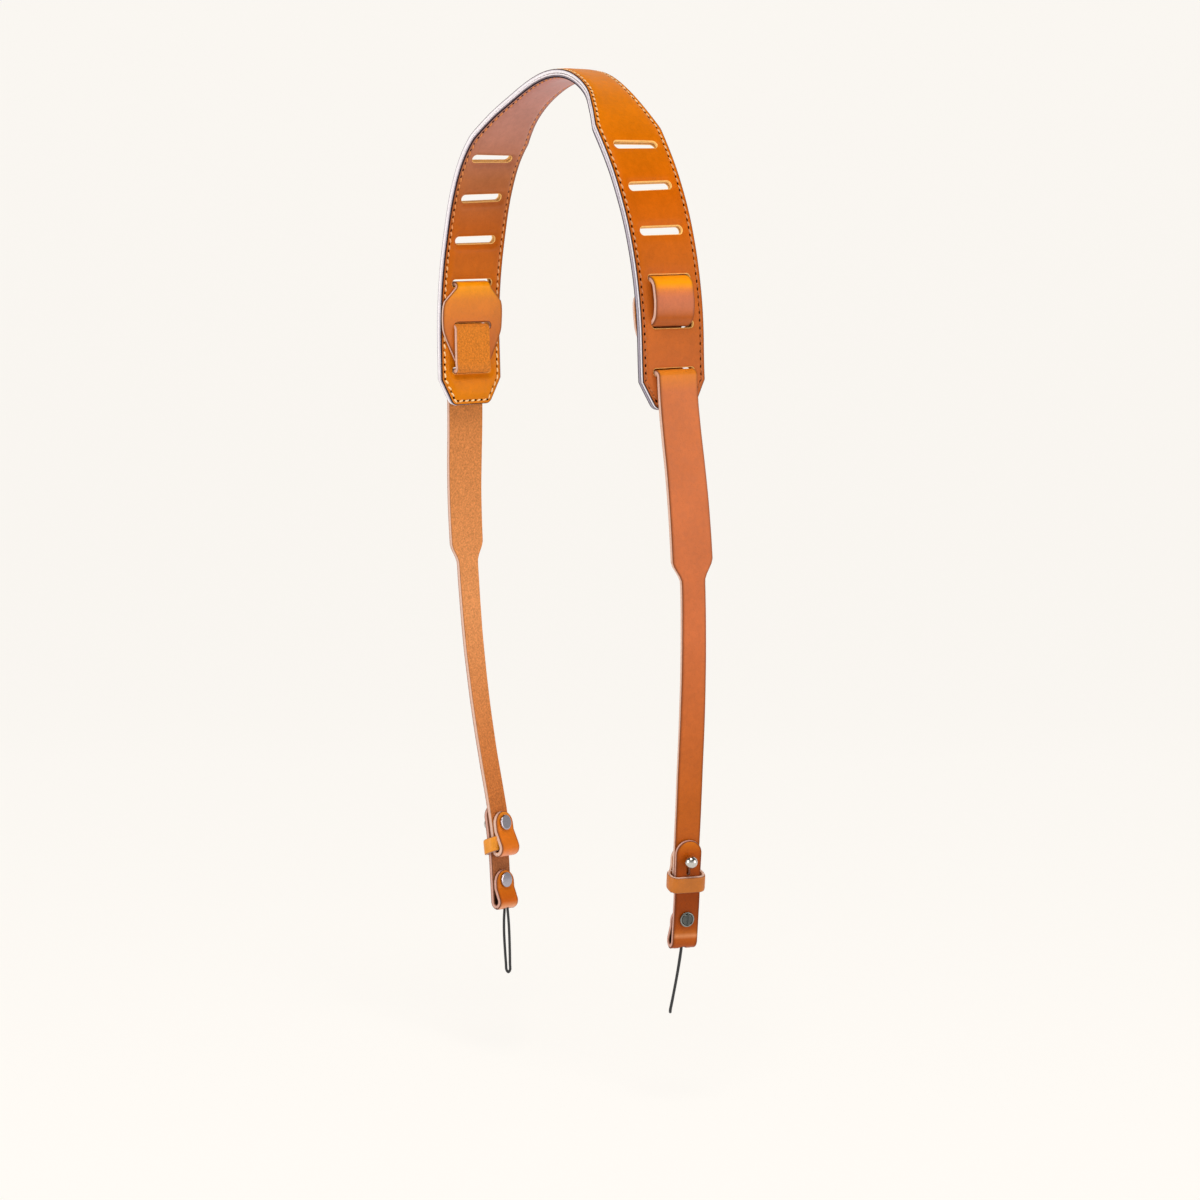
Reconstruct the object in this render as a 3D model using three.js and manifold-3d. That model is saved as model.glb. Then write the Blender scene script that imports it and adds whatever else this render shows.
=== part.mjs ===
// A camera neck strap as it hangs over its rest: a padded neck piece of two leathers stitched over a pale
// core, slotted along both halves, with a leather strap laced through three slots on each side. Each strap
// ends in a fold held by a ball stud, where a short connector strip buttons on inside a keeper ring and
// carries a thin black cord loop.
// Millimetres, +Z up. The origin is the middle of the neck piece's inner face, at the top of the bend.
// The loop spreads along X, its leathers are wide along Y, and the left half mirrors the right one.

import * as THREE from 'three';
import { mergeVertices } from 'three/addons/utils/BufferGeometryUtils.js';
import Module from 'manifold-3d';

const wasm = await Module();
wasm.setup();

// Clearances
const GAP = 0.3;
const SLOT_PLAY = 1;

// Neck piece, measured along the leather from the top of the bend
const PAD_HALF = 228;
const PAD_WIDTH = 41.5;
const WAIST_WIDTH = 25.5;
const SHOULDER_REACH = 71;
const CORNER_WIDTH = 8;
const CORNER_HEIGHT = 15;
const OUTER_LEATHER = 2.2;
const CORE_THICK = 2.6;
const INNER_LEATHER = 1.2;
const LEATHER_INSET = 0.3;
const EDGE_BEVEL = 0.35;

// Slots across the neck piece
const FIRST_SLOT = 83;
const SLOT_PITCH = 25;
const SLOT_COUNT = 6;
const SLOT_LENGTH = 27.6;
const SLOT_HEIGHT = 4.4;

// Strap
const STRAP_THICK = 2.8;
const STRAP_WIDTH = 24.2;
const NARROW_WIDTH = 14.5;
const STRAP_DROP = 265;
const TAPER_DROP = 80;
const TAPER_LENGTH = 12;
const TAB_WIDTH = 41;
const TAB_LENGTH = 46;
const LOOP_RISE = 3.2;
const LACE_BEND = 2.6;
const LACE_SHIFT = 0.5;
const LOOP_BEND = 4.2;

// Fold at the strap's lower end, its ball stud and the keeper ring
const FOLD_DEPTH = 7.6;
const FOLD_BEND = 3;
const FOLD_KNEE = 6.1;
const FLAP_BEND = 2.6;
const STUD_RISE = 21.4;
const FLAP_TIP = 8.7;
const STUD_HEAD = 8;
const STUD_HEAD_THICK = 1.2;
const BALL = 6.6;
const BALL_NECK = 3;
const BALL_LIFT = 0.4;
const KEEPER_HEIGHT = 8.6;
const KEEPER_WALL = 1.7;
const KEEPER_PLAY = 0.8;
const KEEPER_LIFT = 1.8;

// Connector strip with its own fold and screw
const CONNECTOR_THICK = 2.6;
const CONNECTOR_WIDTH = 14.8;
const CONNECTOR_TIP = 11.2;
const CONNECTOR_DROP = 28.9;
const CONNECTOR_FOLD = 6.8;
const CONNECTOR_BEND = 3.3;
const SCREW_BEND = 2.4;
const SCREW_RISE = 16.9;
const CONNECTOR_FLAP = 6.3;
const SCREW_HEAD = 8.2;
const SCREW_POST = 4;
const SCREW_SLOT = 1;
const KEYHOLE_SLIT = 6;
const KEYHOLE_WIDTH = 1.2;

// Cord and its knot
const CORD = 1.6;
const CORD_HOLE = 4.4;
const KNOT = 3.5;

// Materials, with the colours of the real leathers, core, metals and cord
const leather = (hex) => new THREE.MeshStandardMaterial({ color: hex, roughness: 0.5, metalness: 0 });
const GRAIN = leather('#d5741f');
const LINING = leather('#c56d33');
const STRAP_LEATHER = leather('#cd7430');
const BRIGHT_LEATHER = leather('#dd8018');
const CORE_FELT = new THREE.MeshStandardMaterial({ color: '#d9d7db', roughness: 0.95, metalness: 0 });
const NICKEL = new THREE.MeshStandardMaterial({ color: '#c9c8c6', roughness: 0.2, metalness: 1 });
const GUNMETAL = new THREE.MeshStandardMaterial({ color: '#6b6f74', roughness: 0.35, metalness: 1 });
const BLACK_CORD = new THREE.MeshStandardMaterial({ color: '#16181b', roughness: 0.8, metalness: 0 });

// How each half hangs. slope is degrees below level, drift is the sideways wander along Y as a share of
// the same length as at, and turn is the leather's twist in degrees.
const PAD_HANG = [
  { at: 0.00, slope: 0, drift: 0, turn: 0 },
  { at: 0.09, slope: 20.5, drift: -0.004, turn: 1 },
  { at: 0.18, slope: 34, drift: -0.013, turn: 2.5 },
  { at: 0.26, slope: 44, drift: -0.025, turn: 3.6 },
  { at: 0.35, slope: 53.5, drift: -0.033, turn: 3.9 },
  { at: 0.46, slope: 66, drift: -0.031, turn: 3.4 },
  { at: 0.57, slope: 73.5, drift: -0.026, turn: 2.9 },
  { at: 0.70, slope: 81, drift: -0.022, turn: 2 },
  { at: 0.86, slope: 90, drift: -0.018, turn: 1 },
  { at: 1.00, slope: 86, drift: -0.013, turn: 0.5 },
];
const STRAP_HANG = [
  { at: 0.00, slope: 86, drift: 0, turn: 0.5 },
  { at: 0.10, slope: 83.5, drift: 0.006, turn: 2 },
  { at: 0.20, slope: 87, drift: 0.012, turn: 4 },
  { at: 0.35, slope: 91, drift: 0.022, turn: 7 },
  { at: 0.54, slope: 95.4, drift: 0.033, turn: 11 },
  { at: 0.72, slope: 99, drift: 0.045, turn: 14.5 },
  { at: 0.90, slope: 99.5, drift: 0.059, turn: 14 },
  { at: 1.00, slope: 95, drift: 0.063, turn: 12 },
];

// Half widths of the neck piece's waist: flare is the share of the way from the waist to full width
const WAIST_PLAN = [
  { at: 0.00, flare: 0 },
  { at: 0.30, flare: 0.02 },
  { at: 0.56, flare: 0.14 },
  { at: 0.78, flare: 0.52 },
  { at: 1.00, flare: 1 },
];
// The strap's tab from slot to tip: swell is the share of the way from strap width to tab width
const TAB_PLAN = [
  { at: 0.00, swell: 0 },
  { at: 0.06, swell: 0.03 },
  { at: 0.27, swell: 0.93 },
  { at: 0.38, swell: 1 },
  { at: 0.62, swell: 0.97 },
  { at: 0.80, swell: 0.62 },
  { at: 0.96, swell: 0.06 },
  { at: 1.00, swell: 0 },
];

// Smooth curve through one column of a table
function column(rows, name, flatStart = false) {
  const curve = new THREE.CubicInterpolant(rows.map((row) => row.at), rows.map((row) => row[name]), 1);
  if (flatStart) {
    curve.settings = { endingStart: THREE.ZeroSlopeEnding, endingEnd: THREE.ZeroCurvatureEnding };
  }
  return (at) => curve.evaluate(THREE.MathUtils.clamp(at, 0, 1))[0];
}

// The hang line runs in the middle of the neck piece's thickness and on down beside the strap. Its
// points come from adding up short steps along the slopes of the tables.
const PAD_THICK = OUTER_LEATHER + CORE_THICK + INNER_LEATHER + 2 * GAP;
const LINE_STEP = 0.5;
const LINE_TAIL = 60;
const padSlope = column(PAD_HANG, 'slope');
const padDrift = column(PAD_HANG, 'drift', true);
const padTurn = column(PAD_HANG, 'turn', true);
const strapSlope = column(STRAP_HANG, 'slope');
const strapDrift = column(STRAP_HANG, 'drift');
const strapTurn = column(STRAP_HANG, 'turn');

function hangSlope(along) {
  return along < PAD_HALF ? padSlope(along / PAD_HALF) : strapSlope((along - PAD_HALF) / STRAP_DROP);
}

function hangDrift(along) {
  if (along < PAD_HALF) return padDrift(along / PAD_HALF) * PAD_HALF;
  const share = (along - PAD_HALF) / STRAP_DROP;
  return padDrift(1) * PAD_HALF + strapDrift(share) * STRAP_DROP;
}

function hangTurn(along) {
  return along < PAD_HALF ? padTurn(along / PAD_HALF) : strapTurn((along - PAD_HALF) / STRAP_DROP);
}

const hangLine = [new THREE.Vector2(0, PAD_THICK / 2)];
for (let along = 0; along < PAD_HALF + STRAP_DROP + LINE_TAIL; along += LINE_STEP) {
  const slope = THREE.MathUtils.degToRad(hangSlope(along + LINE_STEP / 2));
  const step = new THREE.Vector2(Math.cos(slope), -Math.sin(slope)).multiplyScalar(LINE_STEP);
  hangLine.push(hangLine.at(-1).clone().add(step));
}

// Place and directions at a length along the line: t runs down the leather, w across it and out is its
// outer normal. Negative lengths lie on the left half, where t runs up so that t x w = out there too.
function hangFrame(signed) {
  const along = Math.abs(signed);
  const index = Math.min(Math.floor(along / LINE_STEP), hangLine.length - 2);
  const spot = hangLine[index].clone().lerp(hangLine[index + 1], along / LINE_STEP - index);
  const slope = THREE.MathUtils.degToRad(hangSlope(along));
  const lean = hangDrift(along + LINE_STEP) - hangDrift(Math.max(0, along - LINE_STEP));
  const t = new THREE.Vector3(Math.cos(slope), lean / (2 * LINE_STEP), -Math.sin(slope)).normalize();
  const w = new THREE.Vector3(0, 1, 0).addScaledVector(t, -t.y).normalize();
  w.applyAxisAngle(t, THREE.MathUtils.degToRad(hangTurn(along)));
  const at = new THREE.Vector3(spot.x, hangDrift(along), spot.y);
  if (signed < 0) {
    at.x *= -1;
    t.set(t.x, -t.y, -t.z);
    w.x *= -1;
  }
  return { at, t, w, out: t.clone().cross(w) };
}

function hangPoint(along, across, out) {
  const frame = hangFrame(along);
  return frame.at.addScaledVector(frame.w, across).addScaledVector(frame.out, out);
}

// Rest pose of a small piece whose own axes are x across, y outwards and z up along the leather
function seat(geometry, along, out) {
  const frame = hangFrame(along);
  const basis = new THREE.Matrix4().makeBasis(frame.w, frame.out, frame.t);
  return geometry.applyMatrix4(basis.setPosition(hangPoint(along, 0, out)));
}

// Cross section of a flat leather, with its outer long edges bevelled where a bevel is given. x is
// measured on a ribbon two REACH wide, whose edges then move to each station's real width.
const REACH = 20;
function leatherSection(low, high, bevel = 0) {
  const face = REACH - bevel;
  const points = [[-REACH, low], [REACH, low], [REACH, high - bevel], [-REACH, high - bevel]];
  if (bevel) points.splice(3, 0, [face, high], [-face, high]);
  return new THREE.Shape(points.map(([x, level]) => new THREE.Vector2(x, level)));
}

// Solid swept over stations. place(station, across, high) gives the point in space.
function ribbon(section, stations, place) {
  const steps = stations.length - 1;
  const geometry = new THREE.ExtrudeGeometry(section, { depth: steps, steps, bevelEnabled: false });
  const point = geometry.attributes.position;
  for (let index = 0; index < point.count; index += 1) {
    const station = stations[Math.round(point.getZ(index))];
    const x = point.getX(index);
    const across = x + Math.sign(x) * (station.width / 2 - REACH);
    const spot = place(station, across, point.getY(index));
    point.setXYZ(index, spot.x, spot.y, spot.z);
  }
  return geometry;
}

// Booleans
function solid(geometry) {
  const bare = geometry.clone();
  bare.deleteAttribute('normal');
  bare.deleteAttribute('uv');
  const merged = mergeVertices(bare, 1e-4);
  const mesh = new wasm.Mesh({
    numProp: 3,
    vertProperties: Float32Array.from(merged.attributes.position.array),
    triVerts: Uint32Array.from(merged.index.array),
  });
  return new wasm.Manifold(mesh);
}

function geometryOf(body) {
  const mesh = body.getMesh();
  const geometry = new THREE.BufferGeometry();
  geometry.setAttribute('position', new THREE.BufferAttribute(Float32Array.from(mesh.vertProperties), 3));
  geometry.setIndex(new THREE.BufferAttribute(Uint32Array.from(mesh.triVerts), 1));
  return geometry;
}

function cut(geometry, cutters) {
  const body = cutters.reduce((rest, cutter) => rest.subtract(solid(cutter)), solid(geometry));
  return geometryOf(body);
}

function join(first, second) {
  return geometryOf(solid(first).add(solid(second)));
}

// Rounded slot through a leather at one length along the line, from one depth to another
function slotCutter(along, length, height, from, to) {
  const radius = height / 2;
  const reach = length / 2 - radius;
  const shape = new THREE.Shape();
  shape.absarc(reach, 0, radius, -Math.PI / 2, Math.PI / 2);
  shape.absarc(-reach, 0, radius, Math.PI / 2, Math.PI * 1.5);
  const bar = new THREE.ExtrudeGeometry(shape, { depth: to - from, bevelEnabled: false, curveSegments: 2 });
  bar.rotateX(-Math.PI / 2);
  return seat(bar, along, from);
}

function holeCutter(along, diameter, from, to) {
  const bar = new THREE.CylinderGeometry(diameter / 2, diameter / 2, to - from, 20);
  return seat(bar, along, (from + to) / 2);
}

// Lengths from one mark to the next, split so that no step is longer than the given one
function stops(marks, longest) {
  const list = [marks[0]];
  marks.slice(1).forEach((mark, index) => {
    const from = marks[index];
    const parts = Math.ceil(Math.abs(mark - from) / longest);
    for (let part = 1; part <= parts; part += 1) list.push(from + ((mark - from) * part) / parts);
  });
  return list;
}

const group = new THREE.Group();
const rightHalf = new THREE.Group();
const leftHalf = new THREE.Group();
leftHalf.scale.x = -1;
group.add(rightHalf, leftHalf);

function addMiddle(name, geometry, material) {
  const mesh = new THREE.Mesh(geometry, material);
  mesh.name = name;
  group.add(mesh);
}

function addPair(name, geometry, material) {
  [[rightHalf, 'right'], [leftHalf, 'left']].forEach(([half, side]) => {
    const mesh = new THREE.Mesh(geometry, material);
    mesh.name = `${name}_${side}`;
    half.add(mesh);
  });
}

// Neck piece: two leathers over a pale core, all three cut by the twelve slots
const slotAt = (number) => FIRST_SLOT + (number - 1) * SLOT_PITCH;
const waistFlare = column(WAIST_PLAN, 'flare');

function padWidth(along) {
  const flare = along < SHOULDER_REACH ? waistFlare(along / SHOULDER_REACH) : 1;
  const corner = Math.max(0, 1 - (PAD_HALF - along) / CORNER_HEIGHT);
  return WAIST_WIDTH + flare * (PAD_WIDTH - WAIST_WIDTH) - 2 * CORNER_WIDTH * corner;
}

const PAD_STEP = 8;
const padMarks = [0, SHOULDER_REACH, PAD_HALF - CORNER_HEIGHT, PAD_HALF];
const halfStops = stops(padMarks, PAD_STEP);
const padStops = [...halfStops.slice(1).reverse().map((along) => -along), ...halfStops];

function padLayer(low, high, inset, bevel) {
  const stations = padStops.map((along) => ({ along, width: padWidth(Math.abs(along)) - 2 * inset }));
  stations[0].along += inset;
  stations.at(-1).along -= inset;
  const place = (station, across, out) => hangPoint(station.along, across, out);
  const layer = ribbon(leatherSection(low, high, bevel), stations, place);
  const slots = [];
  for (let number = 1; number <= SLOT_COUNT; number += 1) {
    [-1, 1].forEach((side) => {
      slots.push(slotCutter(side * slotAt(number), SLOT_LENGTH, SLOT_HEIGHT, low - 1, high + 1));
    });
  }
  return cut(layer, slots);
}

const padInner = -PAD_THICK / 2;
const padOuter = PAD_THICK / 2;
const coreLow = padInner + INNER_LEATHER + GAP;
addMiddle('pad_inner_leather', padLayer(padInner, padInner + INNER_LEATHER, LEATHER_INSET, 0), LINING);
addMiddle('pad_core', padLayer(coreLow, coreLow + CORE_THICK, 0, 0), CORE_FELT);
addMiddle('pad_outer_leather', padLayer(padOuter - OUTER_LEATHER, padOuter, LEATHER_INSET, EDGE_BEVEL), GRAIN);

// Stations along a route of straight runs and rounded corners in the plane of length and outward
// distance. Each corner has along, out and bend, its radius at the leather's middle.
const RUN_STEP = 12;
const ARC_STEP = THREE.MathUtils.degToRad(26);

function routeStations(corners) {
  const path = new THREE.CurvePath();
  const spot = (corner) => new THREE.Vector2(corner.along, corner.out);
  let from = spot(corners[0]);
  const samples = [];
  const addRun = (to) => {
    const run = to.clone().sub(from);
    const parts = Math.max(1, Math.ceil(run.length() / RUN_STEP));
    const way = run.clone().normalize();
    for (let part = samples.length ? 1 : 0; part <= parts; part += 1) {
      samples.push({ spot: from.clone().addScaledVector(run, part / parts), way: way.clone() });
    }
    from = to;
  };
  corners.slice(1, -1).forEach((corner, index) => {
    const here = spot(corner);
    const into = here.clone().sub(spot(corners[index])).normalize();
    const away = spot(corners[index + 2]).sub(here).normalize();
    const swing = Math.atan2(into.cross(away), into.dot(away));
    const reach = corner.bend * Math.tan(Math.abs(swing) / 2);
    addRun(here.clone().addScaledVector(into, -reach));
    const side = Math.sign(swing);
    const normal = new THREE.Vector2(-into.y, into.x).multiplyScalar(side);
    const centre = from.clone().addScaledVector(normal, corner.bend);
    const parts = Math.max(2, Math.ceil(Math.abs(swing) / ARC_STEP));
    const arm = from.clone().sub(centre);
    for (let part = 1; part <= parts; part += 1) {
      const angle = (swing * part) / parts;
      const turned = arm.clone().rotateAround(new THREE.Vector2(), angle);
      samples.push({ spot: centre.clone().add(turned), way: into.clone().rotateAround(new THREE.Vector2(), angle) });
    }
    from = samples.at(-1).spot.clone();
  });
  addRun(spot(corners.at(-1)));
  let length = 0;
  return samples.map((sample, index) => {
    if (index) length += sample.spot.distanceTo(samples[index - 1].spot);
    return { along: sample.spot.x, out: sample.spot.y, way: sample.way, length };
  });
}

// A ribbon's end rounded to half a circle: its width at a distance from the tip, never under TIP_WIDTH
const TIP_WIDTH = 1.2;
function roundTip(distance, width, body) {
  const radius = width / 2;
  if (distance >= radius) return body;
  return Math.max(TIP_WIDTH, 2 * Math.sqrt(radius * radius - (radius - distance) * (radius - distance)));
}

// Adds stations close to the end so that the rounded tip is smooth
function withTip(stations, width, atStart) {
  const list = atStart ? [...stations].reverse() : stations;
  const tip = list.at(-1);
  const kept = list.filter((station) => Math.abs(station.length - tip.length) > width / 2 + 0.5);
  const last = kept.at(-1);
  [0, 0.35, 0.62, 0.85, 1].forEach((share) => {
    const distance = (width / 2) * (1 - share);
    const blend = 1 - distance / Math.abs(tip.length - last.length);
    kept.push({
      along: THREE.MathUtils.lerp(last.along, tip.along, blend),
      out: THREE.MathUtils.lerp(last.out, tip.out, blend),
      way: tip.way,
      length: THREE.MathUtils.lerp(last.length, tip.length, blend),
    });
  });
  return atStart ? kept.reverse() : kept;
}

function routePlace(station, across, high) {
  return hangPoint(station.along - station.way.y * high, across, station.out + station.way.x * high);
}

// Strap, from the tab's tip to the folded end
const slotA = slotAt(6);
const slotB = slotAt(5);
const slotC = slotAt(4);
const LACE_SEAT = 0.5;
const strapOut = padOuter + LACE_SEAT + STRAP_THICK / 2;
const tabOut = -strapOut;
const overTab = tabOut - STRAP_THICK - GAP;
const foldBottom = PAD_HALF + STRAP_DROP - STRAP_THICK / 2;
const studAt = PAD_HALF + STRAP_DROP - STUD_RISE;
const flapOut = strapOut - STRAP_THICK - GAP;
const flapStart = studAt + STUD_HEAD / 2 + FLAP_BEND / 2;
const flapSlant = 0.76 * (FOLD_DEPTH - STRAP_THICK - GAP);
const foldBack = 0.88 * (FOLD_DEPTH - FOLD_BEND - GAP);
// In the loop's first slot the strap lies against the lower rim, and in the other two against the upper one
const upOut = slotC + LACE_SHIFT;
const downIn = slotB - LACE_SHIFT;
const lastOut = slotA - LACE_SHIFT;

const strapRoute = [
  { along: slotC + TAB_LENGTH, out: tabOut },
  { along: upOut, out: tabOut, bend: LACE_BEND },
  { along: upOut, out: strapOut + LOOP_RISE, bend: LOOP_BEND },
  { along: (slotB + slotC) / 2, out: strapOut + LOOP_RISE + 0.9, bend: 40 },
  { along: downIn, out: strapOut + LOOP_RISE - 0.6, bend: LOOP_BEND },
  { along: downIn, out: overTab, bend: LACE_BEND },
  { along: lastOut, out: overTab, bend: LACE_BEND },
  { along: lastOut, out: strapOut, bend: LACE_BEND },
  { along: foldBottom, out: strapOut, bend: FOLD_BEND },
  { along: foldBottom, out: strapOut - FOLD_DEPTH, bend: foldBack },
  { along: flapStart + flapSlant, out: strapOut - FOLD_KNEE, bend: FLAP_BEND },
  { along: flapStart, out: flapOut, bend: FLAP_BEND },
  { along: studAt - FLAP_TIP, out: flapOut },
];
const strapStations = withTip(routeStations(strapRoute), NARROW_WIDTH, false);
const tabSwell = column(TAB_PLAN, 'swell');
const strapTotal = strapStations.at(-1).length;

strapStations.forEach((station) => {
  if (station.length < TAB_LENGTH) {
    station.width = STRAP_WIDTH + tabSwell(1 - station.length / TAB_LENGTH) * (TAB_WIDTH - STRAP_WIDTH);
    return;
  }
  const taper = THREE.MathUtils.smoothstep(station.along - PAD_HALF - TAPER_DROP, 0, TAPER_LENGTH);
  const body = STRAP_WIDTH + taper * (NARROW_WIDTH - STRAP_WIDTH);
  station.width = roundTip(strapTotal - station.length, NARROW_WIDTH, body);
});

const halfStrap = STRAP_THICK / 2;
const studHole = BALL_NECK + 2 * GAP;
const flapInner = flapOut - halfStrap;
const strapSection = leatherSection(-halfStrap, halfStrap);
const tabSlit = slotCutter(slotB, STRAP_WIDTH + 2 * SLOT_PLAY, SLOT_HEIGHT, tabOut - halfStrap - 0.2,
  tabOut + halfStrap + 0.2);
const studBore = holeCutter(studAt, studHole, flapInner - 1, strapOut + halfStrap + 1);
// The strap dives through its own tab, so the tab is slit first and the rest joined on at the loop's crown
const crown = strapStations.findIndex((station) => station.along >= (slotB + slotC) / 2 && station.out > 0);
const tabPart = cut(ribbon(strapSection, strapStations.slice(0, crown + 1), routePlace), [tabSlit]);
const longPart = cut(ribbon(strapSection, strapStations.slice(crown), routePlace), [studBore]);
addPair('strap', join(tabPart, longPart), STRAP_LEATHER);

// Connector strip, from its rounded top beside the stud to the end of its lower fold
const halfConnector = CONNECTOR_THICK / 2;
const connectorOut = strapOut + halfStrap + GAP + halfConnector;
const connectorFace = connectorOut + halfConnector;
const connectorEnd = PAD_HALF + STRAP_DROP + CONNECTOR_DROP;
const connectorFold = connectorEnd - halfConnector;
const screwAt = connectorEnd - SCREW_RISE;
const innerFlapOut = connectorOut - CONNECTOR_THICK - GAP;
const innerFlapFace = innerFlapOut - halfConnector;
const screwFlap = screwAt + SCREW_HEAD / 2 + SCREW_BEND / 2;
const screwSlant = 0.85 * (CONNECTOR_FOLD - CONNECTOR_THICK - GAP);

const connectorRoute = [
  { along: studAt - CONNECTOR_TIP, out: connectorOut },
  { along: connectorFold, out: connectorOut, bend: CONNECTOR_BEND },
  { along: connectorFold, out: connectorOut - CONNECTOR_FOLD, bend: CONNECTOR_BEND },
  { along: screwFlap + screwSlant, out: connectorOut - CONNECTOR_FOLD, bend: SCREW_BEND },
  { along: screwFlap, out: innerFlapOut, bend: SCREW_BEND },
  { along: screwAt - CONNECTOR_FLAP, out: innerFlapOut },
];
const connectorOneTip = withTip(routeStations(connectorRoute), CONNECTOR_WIDTH, false);
const connectorStations = withTip(connectorOneTip, CONNECTOR_WIDTH, true);
const connectorTotal = connectorStations.at(-1).length;
connectorStations.forEach((station) => {
  const nearest = Math.min(station.length, connectorTotal - station.length);
  station.width = roundTip(nearest, CONNECTOR_WIDTH, CONNECTOR_WIDTH);
});

const slit = new THREE.BoxGeometry(KEYHOLE_WIDTH, CONNECTOR_THICK + 2, KEYHOLE_SLIT + studHole / 2);
slit.translate(0, 0, (KEYHOLE_SLIT + studHole / 2) / 2);
const cordHole = new THREE.CylinderGeometry(CORD_HOLE / 2, CORD_HOLE / 2, 3 * CONNECTOR_THICK, 20);
cordHole.rotateX(Math.PI / 2);
const foldMiddle = connectorOut - CONNECTOR_FOLD / 2;
const connectorCuts = [
  holeCutter(studAt, studHole, connectorOut - halfConnector - 0.1, connectorFace + 1),
  seat(slit, studAt, connectorOut),
  holeCutter(screwAt, SCREW_POST + 2 * GAP, innerFlapFace - 1, connectorFace + 1),
  seat(cordHole, connectorEnd, foldMiddle),
];
const connectorSection = leatherSection(-halfConnector, halfConnector);
const connectorPlain = ribbon(connectorSection, connectorStations, routePlace);
addPair('connector', cut(connectorPlain, connectorCuts), STRAP_LEATHER);

// Keeper ring round the strap's outer layer and the connector
function roundedBox(low, high, half, radius) {
  const shape = new THREE.Shape();
  shape.absarc(half - radius, low + radius, radius, -Math.PI / 2, 0);
  shape.absarc(half - radius, high - radius, radius, 0, Math.PI / 2);
  shape.absarc(radius - half, high - radius, radius, Math.PI / 2, Math.PI);
  shape.absarc(radius - half, low + radius, radius, Math.PI, Math.PI * 1.5);
  return shape;
}

const keeperSeat = GAP + 0.05;
const keeperLow = strapOut - halfStrap - keeperSeat;
const keeperHigh = connectorFace + keeperSeat;
const keeperHalf = Math.max(CONNECTOR_WIDTH, NARROW_WIDTH) / 2 + KEEPER_PLAY;
const keeperBend = 1.2;
const keeperShape = roundedBox(keeperLow - KEEPER_WALL, keeperHigh + KEEPER_WALL, keeperHalf + KEEPER_WALL,
  keeperBend + KEEPER_WALL);
keeperShape.holes.push(roundedBox(keeperLow, keeperHigh, keeperHalf, keeperBend));
const keeperBar = new THREE.ExtrudeGeometry(keeperShape, {
  depth: KEEPER_HEIGHT, bevelEnabled: false, curveSegments: 3,
});
const keeperFrom = foldBottom - halfStrap - KEEPER_LIFT - KEEPER_HEIGHT;
keeperBar.translate(0, 0, -KEEPER_HEIGHT / 2);
addPair('keeper', seat(keeperBar, keeperFrom + KEEPER_HEIGHT / 2, 0), BRIGHT_LEATHER);

// Turned metal pieces, their axes along the outward direction. A profile goes from the inner end out.
function turned(profile, along) {
  const points = profile.map(([radius, out]) => new THREE.Vector2(radius, out));
  return seat(new THREE.LatheGeometry(points, 16), along, 0);
}

// A flat head with a slightly domed face, standing out by sign from its seat
function headProfile(radius, from, thick, sign) {
  const rim = [[radius, from], [radius, from + sign * thick * 0.6], [radius * 0.8, from + sign * thick]];
  const profile = [[0, from], ...rim, [0, from + sign * thick]];
  return sign > 0 ? profile : profile.reverse();
}

const ballCentre = connectorFace + BALL_LIFT + BALL / 2;
const neckRadius = BALL_NECK / 2;
const ballStart = Math.asin(neckRadius / (BALL / 2));
const BALL_STEPS = 8;
const ballArc = [];
for (let step = 0; step <= BALL_STEPS; step += 1) {
  const angle = ballStart + ((Math.PI - ballStart) * step) / BALL_STEPS;
  const radius = step === BALL_STEPS ? 0 : (BALL / 2) * Math.sin(angle);
  ballArc.push([radius, ballCentre - (BALL / 2) * Math.cos(angle)]);
}
const ballProfile = [[0, flapInner], [neckRadius, flapInner], ...ballArc];
addPair('ball_stud', turned(ballProfile, studAt), NICKEL);
const studHead = headProfile(STUD_HEAD / 2, flapInner - GAP, STUD_HEAD_THICK, -1);
addPair('stud_screw', turned(studHead, studAt), NICKEL);

const screwSeat = connectorFace + GAP;
const screwTop = screwSeat + STUD_HEAD_THICK;
const screwProfile = [
  [0, innerFlapFace], [SCREW_POST / 2, innerFlapFace], [SCREW_POST / 2, screwSeat],
  ...headProfile(SCREW_HEAD / 2, screwSeat, STUD_HEAD_THICK, 1).slice(1),
];
const driverSlot = new THREE.BoxGeometry(SCREW_HEAD + 1, STUD_HEAD_THICK, SCREW_SLOT);
const slottedScrew = cut(turned(screwProfile, screwAt), [seat(driverSlot, screwAt, screwTop)]);
addPair('connector_screw', slottedScrew, GUNMETAL);
const screwCap = headProfile(SCREW_HEAD / 2, innerFlapFace - GAP, STUD_HEAD_THICK, -1);
addPair('screw_cap', turned(screwCap, screwAt), NICKEL);

// Stopper knot of the cord, resting inside the connector's fold
const knotBottom = connectorFold - halfConnector - GAP;
const knotProfile = [[0, 0], [0.36, 0], [0.5, 0.16], [0.44, 0.33], [0.5, 0.5], [0.44, 0.67], [0.5, 0.84],
  [0.36, 1], [0, 1]].map(([radius, height]) => new THREE.Vector2(radius * KNOT, -height * KNOT * 0.85));
const knot = new THREE.LatheGeometry(knotProfile.reverse(), 10).rotateX(Math.PI / 2);
addPair('cord_knot', seat(knot, knotBottom, foldMiddle), BLACK_CORD);

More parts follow.
